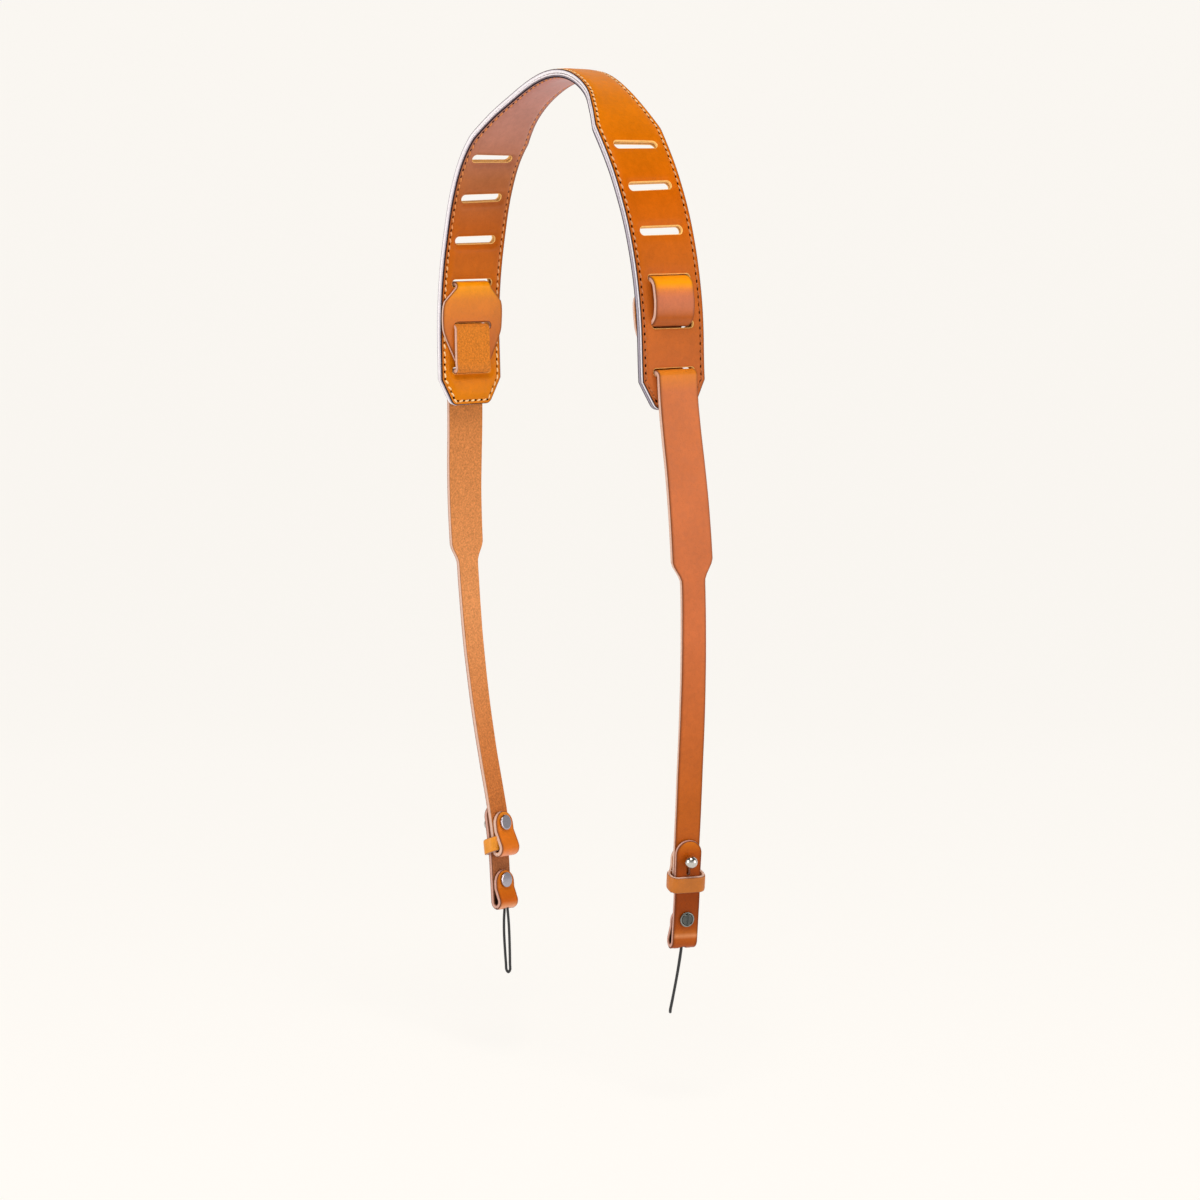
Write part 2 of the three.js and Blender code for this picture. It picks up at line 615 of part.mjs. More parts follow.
// Cord loop of the right side: down from the knot through the fold's hole, round at the bottom and back
const CORD_ROUTE = [
  [84.9, 12.2, -469.4], [84.7, 12.2, -472.0], [84.2, 11.5, -478.0], [83.1, 10.8, -486.0],
  [81.1, 10.1, -496.0], [79.5, 9.6, -503.0], [78.7, 9.4, -506.4], [77.8, 10.1, -507.8],
  [77.1, 10.8, -506.4], [77.7, 11.2, -503.0], [78.9, 11.9, -496.0], [80.7, 12.8, -486.0],
  [82.2, 13.3, -478.0], [83.3, 13.4, -472.0], [83.5, 13.4, -469.4],
].map((point) => new THREE.Vector3(...point));
const cordSection = new THREE.Shape();
for (let side = 0; side < 8; side += 1) {
  const angle = (side * Math.PI) / 4;
  const point = [(CORD / 2) * Math.cos(angle), (CORD / 2) * Math.sin(angle)];
  if (side) cordSection.lineTo(...point);
  else cordSection.moveTo(...point);
}
const cord = new THREE.ExtrudeGeometry(cordSection, {
  steps: 44, bevelEnabled: false, extrudePath: new THREE.CatmullRomCurve3(CORD_ROUTE),
});
addPair('lug_cord', cord, BLACK_CORD);

export default group;
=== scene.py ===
# %% [markdown]
# # A camera neck strap, hanging in its loop
# The strap has a padded neck piece of two leathers over a pale core, a long leather strap laced through
# its slots on each side, and two short connector strips that button onto ball studs and carry thin cords.
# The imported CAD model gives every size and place. This lesson dresses it: each piece is rebuilt as a
# smooth surface from the same tables, and gets a material worked out from what it really is.

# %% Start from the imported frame
import math

import bmesh
import bpy
import numpy as np
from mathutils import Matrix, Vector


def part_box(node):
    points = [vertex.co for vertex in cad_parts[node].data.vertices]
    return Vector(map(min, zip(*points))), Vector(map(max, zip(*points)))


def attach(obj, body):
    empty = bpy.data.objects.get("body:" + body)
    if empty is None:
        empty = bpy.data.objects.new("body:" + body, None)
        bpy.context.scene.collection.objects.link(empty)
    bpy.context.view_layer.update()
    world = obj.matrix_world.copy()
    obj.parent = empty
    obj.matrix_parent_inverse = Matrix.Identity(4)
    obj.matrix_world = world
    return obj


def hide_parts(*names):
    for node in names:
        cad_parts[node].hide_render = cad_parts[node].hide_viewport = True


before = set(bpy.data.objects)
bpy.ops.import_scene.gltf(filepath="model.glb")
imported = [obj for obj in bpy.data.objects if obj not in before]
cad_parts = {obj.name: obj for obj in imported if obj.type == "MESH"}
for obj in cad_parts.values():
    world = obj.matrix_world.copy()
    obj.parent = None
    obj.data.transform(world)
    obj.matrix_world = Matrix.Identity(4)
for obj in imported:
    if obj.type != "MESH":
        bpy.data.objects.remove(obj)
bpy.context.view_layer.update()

MM = 0.001
# Each half of the loop: the sign of its x, and the word in its pieces' names
SIDES = ((1, "right"), (-1, "left"))

# %% [markdown]
# ## The camera
# The photograph looks at the strap from one side and a little above its middle, with a long lens. A long
# lens keeps both halves nearly the same size, so the focal length and the place are set together.

# %% Camera
LENS = 108
SENSOR = 36
EYE = (1.62620, -1.16223, -0.14620)
PITCH = 85.98
AZIMUTH = 54.0

camera_data = bpy.data.cameras.new("camera")
camera_data.lens = LENS
camera_data.sensor_width = SENSOR
camera = bpy.data.objects.new("camera", camera_data)
camera.location = EYE
camera.rotation_euler = (math.radians(PITCH), 0, math.radians(AZIMUTH))
bpy.context.collection.objects.link(camera)
bpy.context.scene.camera = camera
bpy.context.scene.view_settings.view_transform = "Standard"
print("camera", LENS, "mm at", EYE)

# %% [markdown]
# ## Meshes from arrays
# A shape here is one or more grids of points. Each grid is worked out as a whole array, equal points are
# joined, and the result goes into a mesh in one call. That is quicker than adding vertices one at a time,
# and a formula is easier to change than a finished mesh.

# %% Helpers that turn grids into a piece
# Points are joined where they round to the same micron, and the shift keeps round sizes off that step
SNAP = 1000
SNAP_SHIFT = 0.37


def grid_faces(rows, columns, wrap):
    """Four-cornered faces of a grid, whose last column joins the first one when it wraps."""
    index = np.arange(rows * columns).reshape(rows, columns)
    if wrap:
        index = np.hstack([index, index[:, :1]])
    return np.stack([index[:-1, :-1], index[1:, :-1], index[1:, 1:], index[:-1, 1:]], axis=-1).reshape(-1, 4)


def weld(blocks):
    """One list of points and faces from many grids: points that round to the same micron become one."""
    points, faces, count = [], [], 0
    for grid, wrap in blocks:
        rows, columns = grid.shape[1:3]
        faces.append(grid_faces(rows, columns, wrap) + count)
        points.append(grid.reshape(len(grid), -1))
        count += rows * columns
    points = np.concatenate(points, axis=1)
    faces = np.concatenate(faces)
    keys = np.floor(points[:3] * SNAP + SNAP_SHIFT).astype(np.int64)
    unused, first, inverse = np.unique(keys, axis=1, return_index=True, return_inverse=True)
    faces = inverse.reshape(-1)[faces]
    following = np.roll(faces, -1, axis=1)
    faces = faces[(faces != following).sum(axis=1) >= 3]
    return points[:, first], faces


def make_piece(name, points, faces, marks, side=1, uv=None):
    """A mesh object from points in millimetres. side -1 mirrors it to the left half of the loop, marks are
    numbers per point that its material reads, and uv is each point's place in a flat plan."""
    points = points * np.array([[side], [1], [1]])
    mesh = bpy.data.meshes.new(name)
    corners = [list(dict.fromkeys(face)) for face in faces.tolist()]
    mesh.from_pydata((points.T * MM).tolist(), [], corners)
    shell = bmesh.new()
    shell.from_mesh(mesh)
    bmesh.ops.recalc_face_normals(shell, faces=shell.faces)
    open_edges = sum(1 for edge in shell.edges if len(edge.link_faces) != 2)
    shell.to_mesh(mesh)
    shell.free()
    if uv is not None:
        corner = np.zeros(len(mesh.loops), dtype=np.int32)
        mesh.loops.foreach_get("vertex_index", corner)
        layer = mesh.uv_layers.new(name="plan")
        layer.data.foreach_set("uv", (uv.T[corner] * MM).astype(np.float32).ravel())
    for mark, values in marks.items():
        attribute = mesh.attributes.new(mark, "FLOAT", "POINT")
        attribute.data.foreach_set("value", np.asarray(values, dtype=np.float32))
    mesh.shade_smooth()
    piece = bpy.data.objects.new(name, mesh)
    bpy.context.collection.objects.link(piece)
    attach(piece, "root")
    print(f"{name}: {len(mesh.vertices)} points, {len(mesh.polygons)} faces, {open_edges} open edges")
    return piece


# %% [markdown]
# ## How the loop hangs
# The strap hangs from the middle of its neck piece. One line runs down the middle of the leather, and
# two tables say how steep it is, how far it wanders sideways and how much it twists. Adding up short
# steps along those slopes gives the line, the same one that the CAD solids follow.

# %% Hang line
PAD_HALF = 228
PAD_THICK = 6.6
STRAP_DROP = 265
LINE_STEP = 0.5
LINE_TAIL = 60

# at is a share of the neck piece's half length, then slope in degrees, drift as a share, turn in degrees
PAD_HANG = np.array([
    [0.00, 0, 0, 0], [0.09, 20.5, -0.004, 1], [0.18, 34, -0.013, 2.5], [0.26, 44, -0.025, 3.6],
    [0.35, 53.5, -0.033, 3.9], [0.46, 66, -0.031, 3.4], [0.57, 73.5, -0.026, 2.9],
    [0.70, 81, -0.022, 2], [0.86, 90, -0.018, 1], [1.00, 86, -0.013, 0.5],
])
STRAP_HANG = np.array([
    [0.00, 86, 0, 0.5], [0.10, 83.5, 0.006, 2], [0.20, 87, 0.012, 4], [0.35, 91, 0.022, 7],
    [0.54, 95.4, 0.033, 11], [0.72, 99, 0.045, 14.5], [0.90, 99.5, 0.059, 14], [1.00, 95, 0.063, 12],
])


def column(rows, which, flat_start=False):
    """Smooth curve through a table's column: a cubic between each two rows, whose slope at a row is the
    mean of the slopes on its two sides."""
    at, value = rows[:, 0], rows[:, which]
    secant = np.diff(value) / np.diff(at)
    slope = np.concatenate([[0 if flat_start else secant[0]], (secant[1:] + secant[:-1]) / 2, secant[-1:]])

    def curve(share):
        share = np.clip(share, 0, 1)
        row = np.clip(np.searchsorted(at, share, side="right") - 1, 0, len(at) - 2)
        span = at[row + 1] - at[row]
        p = (share - at[row]) / span
        ends = value[row] * (1 + 2 * p) * (1 - p) ** 2 + value[row + 1] * p * p * (3 - 2 * p)
        return ends + span * (slope[row] * p * (1 - p) ** 2 - slope[row + 1] * p * p * (1 - p))

    return curve


pad_slope, pad_drift, pad_turn = column(PAD_HANG, 1), column(PAD_HANG, 2, True), column(PAD_HANG, 3, True)
strap_slope, strap_drift, strap_turn = (column(STRAP_HANG, which) for which in (1, 2, 3))


def by_half(along, on_pad, on_strap):
    """Value of one curve on the neck piece and of another below it."""
    return np.where(along < PAD_HALF, on_pad(along / PAD_HALF), on_strap((along - PAD_HALF) / STRAP_DROP))


def hang_drift(along):
    """Sideways wander in millimetres. The tables give it as a share of the length of their own part."""
    below = pad_drift(1.0) * PAD_HALF + strap_drift((along - PAD_HALF) / STRAP_DROP) * STRAP_DROP
    return np.where(along < PAD_HALF, pad_drift(along / PAD_HALF) * PAD_HALF, below)


line_at = np.arange(0, PAD_HALF + STRAP_DROP + LINE_TAIL, LINE_STEP)
line_slope = np.radians(by_half(line_at + LINE_STEP / 2, pad_slope, strap_slope))
line_x = np.concatenate([[0], np.cumsum(np.cos(line_slope) * LINE_STEP)])
line_z = PAD_THICK / 2 - np.concatenate([[0], np.cumsum(np.sin(line_slope) * LINE_STEP)])
line_at = np.append(line_at, line_at[-1] + LINE_STEP)


def hang_frame(signed):
    """Place, downward direction t, crossways direction w and outward normal at a length along the line.
    The left half, at negative lengths, is the mirror image with t turned round, so t x w still points out."""
    signed = np.asarray(signed, dtype=float)
    along = np.abs(signed)
    slope = np.radians(by_half(along, pad_slope, strap_slope))
    lean = (hang_drift(along + LINE_STEP) - hang_drift(np.maximum(0, along - LINE_STEP))) / (2 * LINE_STEP)
    t = np.stack([np.cos(slope), lean, -np.sin(slope)])
    t = t / np.linalg.norm(t, axis=0)
    w = -t * t[1]
    w[1] += 1
    w = w / np.linalg.norm(w, axis=0)
    turn = np.radians(by_half(along, pad_turn, strap_turn))
    w = w * np.cos(turn) + np.cross(t, w, axis=0) * np.sin(turn)
    at = np.stack([np.interp(along, line_at, line_x), hang_drift(along), np.interp(along, line_at, line_z)])
    left = np.where(signed < 0, -1.0, 1.0)
    at[0] *= left
    t[1:] *= left
    w[0] *= left
    return at, t, w, np.cross(t, w, axis=0)


def hang_point(along, across, out):
    """Point at a length along the line, moved crossways and outwards in millimetres."""
    at, unused, w, normal = hang_frame(along)
    return at + w * across + normal * out


def seat(x, y, z, along):
    """Points of a small stiff piece: x across the leather, y outwards, z down along it."""
    at, t, w, normal = (value.reshape(3, *([1] * np.ndim(x))) for value in hang_frame(along))
    return at + w * x + normal * y + t * z


print("line ends at", [round(float(value), 1) for value in hang_point(PAD_HALF + STRAP_DROP, 0.0, 0.0)])

# %% [markdown]
# ## The thin cords
# Each connector carries a loop of black braided cord, 1.6 mm thick, that the load hangs on. It drops from
# its knot, turns at the bottom and comes back up. A cord could be a curve with a bevel, but a tube worked
# out from its centre line can carry the braid itself: the strands are a diamond pattern of low bumps,
# sine across sine, that wind both ways round the tube.

# %% Cords
CORD = 1.6
CORD_ROUTE = np.array([
    [84.9, 12.2, -469.4], [84.7, 12.2, -472.0], [84.2, 11.5, -478.0], [83.1, 10.8, -486.0],
    [81.1, 10.1, -496.0], [79.5, 9.6, -503.0], [78.7, 9.4, -506.4], [77.8, 10.1, -507.8],
    [77.1, 10.8, -506.4], [77.7, 11.2, -503.0], [78.9, 11.9, -496.0], [80.7, 12.8, -486.0],
    [82.2, 13.3, -478.0], [83.3, 13.4, -472.0], [83.5, 13.4, -469.4],
])
CORD_STEPS = 360
CORD_SIDES = 24
BRAID_PITCH = 2.4
BRAID_STRANDS = 4
BRAID_DEPTH = 0.07
FINE_STEPS = 4001
# A direction that no cord here runs along
OFF_AXIS = np.array([[0.31], [0.93], [0.2]])


def smooth_path(points, count):
    """Curve through points by cubics whose slopes come from the neighbouring points, then evenly spaced."""
    reach = np.concatenate([[0], np.cumsum(np.sqrt(np.linalg.norm(np.diff(points, axis=0), axis=1)))])
    share = reach / reach[-1]
    fine = np.linspace(0, 1, FINE_STEPS)
    track = np.stack([column(np.column_stack([share, points[:, axis]]), 1)(fine) for axis in range(3)])
    length = np.concatenate([[0], np.cumsum(np.linalg.norm(np.diff(track, axis=1), axis=0))])
    even = np.linspace(0, length[-1], count)
    return np.stack([np.interp(even, length, track[axis]) for axis in range(3)]), even


def carried_frame(path, closed=False):
    """The two directions square to a path at each point: its own direction crossed with one fixed
    direction, and the one square to both. So the tube isn't twisted."""
    if closed:
        along = np.roll(path, -1, axis=1) - np.roll(path, 1, axis=1)
    else:
        along = np.gradient(path, axis=1)
    along = along / np.linalg.norm(along, axis=0)
    side = np.cross(along, OFF_AXIS, axis=0)
    side = side / np.linalg.norm(side, axis=0)
    return side, np.cross(along, side, axis=0)


def tube(path, radius, sides, closed=False):
    """Tube round a path: the point at an angle is path + radius (side cos + up sin), radius per point."""
    side, up = carried_frame(path, closed)
    angle = np.arange(sides) / sides * 2 * np.pi
    ring = side[:, :, None] * np.cos(angle) + up[:, :, None] * np.sin(angle)
    return path[:, :, None] + radius * ring


def braided(length, sides):
    """Radius of a braided cord at each length and angle: two sets of strands cross, sine times sine."""
    angle = np.arange(sides) / sides * 2 * np.pi
    turns = 2 * np.pi * length[:, None] / BRAID_PITCH
    relief = np.sin(BRAID_STRANDS * angle + turns) * np.sin(BRAID_STRANDS * angle - turns)
    return CORD / 2 - BRAID_DEPTH / 2 + BRAID_DEPTH / 2 * relief


def capped(surface):
    """A tube's grid with each end drawn in to its middle, so that the tube is closed."""
    first = surface[:, :1].mean(axis=2, keepdims=True) + 0 * surface[:, :1]
    last = surface[:, -1:].mean(axis=2, keepdims=True) + 0 * surface[:, -1:]
    return np.concatenate([first, surface, last], axis=1)


cord_path, cord_at = smooth_path(CORD_ROUTE, CORD_STEPS)
cord_surface = capped(tube(cord_path, braided(cord_at, CORD_SIDES), CORD_SIDES))
cord_points, cord_faces = weld([(cord_surface, True)])
cord_pieces = {}
for side, word in SIDES:
    cord_piece = make_piece(f"lug_cord_braid_{word}", cord_points, cord_faces, {}, side)
    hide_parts(f"lug_cord_{word}")
    cord_pieces[word] = cord_piece

# %% [markdown]
# ## The cord's knot
# A small stopper knot sits inside the connector's fold and keeps the cord from pulling through. A simple
# overhand knot closes on itself like a trefoil, so a tube along a trefoil curve has its look from all
# sides: x = sin t + 2 sin 2t, y = cos t - 2 cos 2t, z = -1.6 sin 3t.

# %% Knots
KNOT_REACH = 1.5
KNOT_DEPTH = 1.6
KNOT_CORD = 0.62
KNOT_STEPS = 96
KNOT_SIDES = 12
TREFOIL_REACH = 3


def knot_path(centre):
    """Trefoil curve round a point, as wide as the knot."""
    t = np.arange(KNOT_STEPS) / KNOT_STEPS * 2 * np.pi
    x, y = np.sin(t) + 2 * np.sin(2 * t), np.cos(t) - 2 * np.cos(2 * t)
    return centre[:, None] + np.stack([x, y, -KNOT_DEPTH * np.sin(3 * t)]) * KNOT_REACH / TREFOIL_REACH


knots = []
for side, word in SIDES:
    low, high = (np.array(corner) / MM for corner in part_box(f"cord_knot_{word}"))
    middle = (low + high) / 2 * np.array([side, 1, 1])
    surface = tube(knot_path(middle), KNOT_CORD, KNOT_SIDES, closed=True)
    points, faces = weld([(np.concatenate([surface, surface[:, :1]], axis=1), True)])
    knot = make_piece(f"cord_stopper_knot_{word}", points, faces, {}, side)
    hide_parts(f"cord_knot_{word}")
    knots.append(knot)

# %% [markdown]
# ## Leather sheets with holes
# Every leather here is a flat piece that was cut to a plan, punched, and bent. So one function makes
# them all: it lays out the plan in millimetres, length l by width u, gives it two faces and a rounded
# edge, and a second function bends the plan into place. A hole could be cut with a boolean, but that
# leaves ragged shading at its rim. Here each hole has a cell of its own, whose grid runs as rings from
# the hole's rim out to the cell's four sides, so the rim can be rounded like a real punched edge.

# %% Plan of a punched leather
# Shares of the way from a hole's rim to its cell's four sides
RINGS = np.array([0, 0.05, 0.12, 0.22, 0.34, 0.46, 0.58, 0.72, 0.86, 1.0])
CELL_ROWS = 10
CELL_MARGIN = 0.25
SAME_PLACE = 1e-6
EDGE_STEPS = 9
# Powers below 1 square an edge's ellipse off, first inwards and then upwards
EDGE_SQUARE = 0.7
EDGE_UPRIGHT = 0.8
CUT_SPREAD = 0.5


def rounded_side(share, deep, wide, bend):
    """One side of a rounded rectangle, from the middle of one corner's arc to the middle of the next:
    an eighth of a circle, a straight run and another eighth, evenly along the length."""
    arc = bend * np.pi / 4
    run = 2 * (wide - bend)
    reach = share * (2 * arc + run)
    before, after = reach < arc, reach > arc + run
    turn = np.where(before, arc - reach, np.where(after, reach - arc - run, 0)) / bend
    u = np.where(before, bend - wide - bend * np.sin(turn), reach - arc - run / 2)
    u = np.where(after, wide - bend + bend * np.sin(turn), u)
    return np.stack([bend - deep - bend * np.cos(turn), u])


def hole_rim(hole, grow, across, ends):
    """Closed outline of a hole, grown by a distance: two sides across the leather and two along it."""
    centre, deep, wide, bend = hole
    side = rounded_side(across[:-1], deep + grow, wide + grow, bend + grow)
    end = rounded_side(ends[:-1], wide + grow, deep + grow, bend + grow)
    end = np.stack([end[1], -end[0]])
    return np.concatenate([side, end, -side, -end], axis=1) + np.array([[centre], [0]])


def edge_profile(low, high, edge):
    """Rounded edge from the upper face to the lower one: the inset falls from edge to 0 and back as a
    squared-off ellipse."""
    angle = np.linspace(np.pi / 2, -np.pi / 2, EDGE_STEPS)
    inset = edge * (1 - np.cos(angle) ** EDGE_SQUARE)
    inset[[0, -1]] = edge
    lift = np.sign(np.sin(angle)) * np.abs(np.sin(angle)) ** EDGE_UPRIGHT
    return inset, (low + high) / 2 + (high - low) / 2 * lift


def punched_sheet(stations, half, columns, holes, low, high, edge):
    """Grids of a closed leather sheet in its plan: rows are l, u, height and how much a point is on the
    cut edge. stations and half give the outline, columns the shares of the width from -1 to 1, and each
    hole is its centre, half length, half width and corner radius, with its cell's first and last row."""
    slant = np.gradient(half, stations)
    tilt = np.hypot(1, slant)
    back, side = -slant / tilt, 1 / tilt
    back[0], back[-1] = -1, 1
    side[[0, -1]] = 1
    insets, heights = edge_profile(low, high, edge)
    cuts = np.clip(1 - insets / edge, 0, 1) ** CUT_SPREAD

    def rows(inset):
        return stations - back * inset, half - side * inset

    def outline(l, u):
        """Closed outline of some rows: across the first one, along one side, and round to the start."""
        start, end = (np.stack([np.full(len(columns) - 1, l[row]), u[row] * shares])
                      for row, shares in ((0, columns[:-1]), (-1, columns[:0:-1])))
        return np.concatenate([start, [l[:-1], u[:-1]], end, [l[:0:-1], -u[:0:-1]]], axis=1)

    def lifted(plan, height, cut):
        height, cut = (np.broadcast_to(value, plan.shape[1:])[None] for value in (height, cut))
        return np.concatenate([plan, height, cut])

    def wall(rim):
        """Rounded edge: the rim at each inset of the edge's profile, at that inset's height."""
        rims = np.stack([rim(inset) for inset in insets], axis=1)
        return lifted(rims, heights[:, None], cuts[:, None]), True

    blocks = [wall(lambda inset: outline(*rows(inset)))]
    l, u = rows(edge)
    across = (columns + 1) / 2
    covered = np.zeros(len(stations) - 1, dtype=bool)
    for hole, first, last in holes:
        covered[first:last] = True
        ends = (stations[first:last + 1] - stations[first]) / (stations[last] - stations[first])
        outer = outline(l[first:last + 1], u[first:last + 1])
        inner = hole_rim(hole, edge, across, ends)
        cell = inner[:, None] * (1 - RINGS[:, None]) + outer[:, None] * RINGS[:, None]
        blocks += [(lifted(cell, high, 0), True), (lifted(cell, low, 0), True)]
        blocks.append(wall(lambda inset: hole_rim(hole, inset, across, ends)))
    plain = np.stack([np.repeat(l[:, None], len(columns), axis=1), u[:, None] * columns])
    for row in np.flatnonzero(~covered):
        strip = plain[:, row:row + 2]
        blocks += [(lifted(strip, high, 0), False), (lifted(strip, low, 0), False)]
    return weld(blocks)


def with_cells(stations, holes, reaches):
    """Puts each hole's cell into a list of stations: its own even rows replace those inside its reach."""
    for hole, reach in zip(holes, reaches):
        stations = stations[np.abs(stations - hole[0]) > reach + CELL_MARGIN]
        stations = np.concatenate([stations, hole[0] + reach * np.linspace(-1, 1, CELL_ROWS + 1)])
    stations = np.sort(stations)
    stations = stations[np.concatenate([[True], np.diff(stations) > SAME_PLACE])]
    cells = []
    for hole, reach in zip(holes, reaches):
        first = int(np.argmin(np.abs(stations - hole[0] + reach)))
        cells.append((hole, first, first + CELL_ROWS))
    return stations, cells


def near_end(distance, radius):
    """How much a square corner is cut back near an end, so that it becomes a quarter circle."""
    depth = np.clip(radius - distance, 0, radius)
    return radius - np.sqrt(radius * radius - depth * depth)


# Millimetres from an end and from a side, close together where the leather bends most
END_STOPS = np.array([0, 0.12, 0.35, 0.7, 1.15, 1.7, 2.3, 3.0, 3.7, 4.6, 6.0])
SIDE_STOPS = np.array([0, 0.7, 1.5, 2.2, 3.0, 3.8, 4.8, 6.2])
SIDE_SHARE = 0.6


def edge_columns(half, middle_step):
    """Shares of the width from -1 to 1: the side stops at both sides, and even steps between them."""
    fine = SIDE_STOPS[SIDE_STOPS < half * SIDE_SHARE]
    left = half - fine[-1]
    parts = max(2, round(left / middle_step))
    rest = fine[-1] + left * np.arange(1, parts + 1) / parts
    share = 1 - np.concatenate([fine, rest]) / half
    return np.concatenate([-share, share[::-1][1:]])


def undulation(l, u, size, depth):
    """Low waves of worn leather: a sum of three crossing sines, whose lengths never fall into step."""
    waves = np.sin(l / size + 0.7 * np.sin(u / size)) + 0.6 * np.sin(l / size * 1.7 - u / size * 1.3 + 1.1)
    return depth * (waves + 0.5 * np.sin(u / size * 2.1 + l / size * 0.6 + 2.3)) / 2.1


print("a leather's edge has", EDGE_STEPS, "steps, and a hole's cell", len(RINGS), "rings")

# %% [markdown]
# ## The neck piece
# Two leathers are stitched together all round over a pale core. The plan is narrow at the back of the
# neck, widens at the shoulders, and has six slots across each half. The stitching pulls the leather in
# along a line 2.6 mm from the edge, and each slot's rim is pressed down by the die that cut it.

# %% Outline of the neck piece
PAD_WIDTH = 41.5
WAIST_WIDTH = 25.5
SHOULDER_REACH = 71
CORNER_WIDTH = 8
CORNER_HEIGHT = 15
CORNER_ROUND = 2.4
WAIST_PLAN = np.array([[0.00, 0], [0.30, 0.02], [0.56, 0.14], [0.78, 0.52], [1.00, 1]])

waist_flare = column(WAIST_PLAN, 1)
pad_low, pad_high = -PAD_THICK / 2, PAD_THICK / 2


def pad_half(signed):
    """Half the neck piece's width: waist, flare to the shoulders, full width, cut corners at the end."""
    along = np.abs(signed)
    flare = np.where(along < SHOULDER_REACH, waist_flare(along / SHOULDER_REACH), 1)
    corner = np.maximum(0, 1 - (PAD_HALF - along) / CORNER_HEIGHT)
    return (WAIST_WIDTH + flare * (PAD_WIDTH - WAIST_WIDTH)) / 2 - CORNER_WIDTH * corner


print("neck piece", 2 * PAD_HALF, "mm long,", PAD_WIDTH, "mm wide and", WAIST_WIDTH, "mm at the waist")

# %% Slots and pressed places
# Slots, right and left: the two below the first laced one are drawn in by the strap
FIRST_SLOT = 83
SLOT_PITCH = 25
SLOT_COUNT = 6
FIRST_LACED = 3
SLOT_LENGTHS = {1: 26.8, -1: 27.8}
LACED_LENGTHS = {1: 26.6, -1: 26.2}
SLOT_HEIGHT = 4.4
LACED_HEIGHT = 3.4
WORN_HEIGHT = 3.7
LACE_SHIFT = 0.5

# How far the leathers are pressed together, and how many millimetres it takes to fade
STITCH_INSET = 2.6
STITCH_PRESS = 0.32
STITCH_FADE = 0.9
EDGE_PRESS = 1.8
EDGE_FLAT = 2.0
EDGE_FADE = 2.4
SLOT_PRESS = 3.1
SLOT_FADE = 2.2
LACED_PRESS = 0.6
TAB_SINK = 1.4
TAB_MARGIN = 1
TAB_FADE = 2
OUTER_SHARE = 0.28
PUNCH_REACH = 1.3
RUB_START = 0.3
RUB_FADE = 0.75

slots_at = FIRST_SLOT + SLOT_PITCH * np.arange(SLOT_COUNT)


def rim_distance(l, u):
    """Distance outside the rim of the nearest slot, and 1 for a free slot or less for a laced one."""
    radius = SLOT_HEIGHT / 2
    past_end = np.maximum(np.abs(u) - (np.where(l > 0, SLOT_LENGTHS[1], SLOT_LENGTHS[-1]) / 2 - radius), 0)
    away = np.abs(np.abs(l)[..., None] - slots_at)
    laced = np.argmin(away, axis=-1) >= FIRST_LACED
    return np.hypot(np.min(away, axis=-1), past_end) - radius, np.where(laced, LACED_PRESS, 1)


def under_tab(l):
    """1 where the laced strap lies on the neck piece, with soft steps of a few millimetres at both ends."""
    inside = np.minimum(np.abs(l) - slots_at[FIRST_LACED], slots_at[-1] - np.abs(l))
    return 0.5 + 0.5 * np.tanh((inside + TAB_MARGIN) / TAB_FADE)


def inside_edge(l, u):
    """Distance inside the neck piece's outline."""
    return np.minimum(pad_half(l) - np.abs(u), PAD_HALF - np.abs(l))


def squeeze(l, u):
    """How much thinner the neck piece gets: near its stitched edge, round its slots and under the tab, the
    first two fading as bell curves, with the largest one where they meet."""
    rim, free = rim_distance(l, u)
    at_edge = EDGE_PRESS * np.exp(-(np.maximum(inside_edge(l, u) - EDGE_FLAT, 0) / EDGE_FADE) ** 2)
    at_rim = free * SLOT_PRESS * np.exp(-(np.maximum(rim, 0) / SLOT_FADE) ** 2)
    return np.maximum(np.maximum(at_edge, at_rim), TAB_SINK * under_tab(l))


def furrow(l, u):
    """Depth of the groove that the thread presses in: a bell curve round the line of stitches."""
    return STITCH_PRESS * np.exp(-((inside_edge(l, u) - STITCH_INSET) / STITCH_FADE) ** 2)


def pad_relief(l, u, face):
    """How far a face sinks, as a negative height: its share of the squeeze, and the furrow."""
    return -furrow(l, u) - squeeze(l, u) * (OUTER_SHARE if face > 0 else 1 - OUTER_SHARE)


def burnish(distance):
    """How dark a rubbed edge is at a distance inside the outline: a bell curve."""
    return np.exp(-(np.maximum(distance - RUB_START, 0) / RUB_FADE) ** 2)


print("slots at", slots_at.tolist(), "mm, pressed by", round(float(squeeze(slots_at[0], 0.0)), 2), "mm")

# %% Neck piece layers
# Thickness of each layer, how far it stays inside the outline, and how round its edge is
OUTER_LEATHER = 2.2
CORE_THICK = 2.6
INNER_LEATHER = 1.2
GAP = 0.3
LEATHER_INSET = 0.3
CORE_INSET = 0.1
CORE_BACK = 2.0
OUTER_ROUND = 0.75
CORE_ROUND = 0.3
LINING_ROUND = 0.5
LEVEL_REACH = 3
PAD_STEP = 2.4
PAD_COLUMN = 2.2
PAD_WAVES = (9, 0.1)

core_low = pad_low + INNER_LEATHER + GAP


def slot_hole(number, side, grow):
    """A slot as a hole in the plan: its centre, half length, half width and corner radius."""
    shifted = number == FIRST_LACED and side > 0
    height = LACED_HEIGHT if shifted else SLOT_HEIGHT if number <= FIRST_LACED else WORN_HEIGHT
    length = (SLOT_LENGTHS if number <= FIRST_LACED else LACED_LENGTHS)[side]
    centre = slots_at[number] + (LACE_SHIFT if shifted else 0)
    radius = height / 2 + grow
    return side * centre, radius, length / 2 + grow, radius


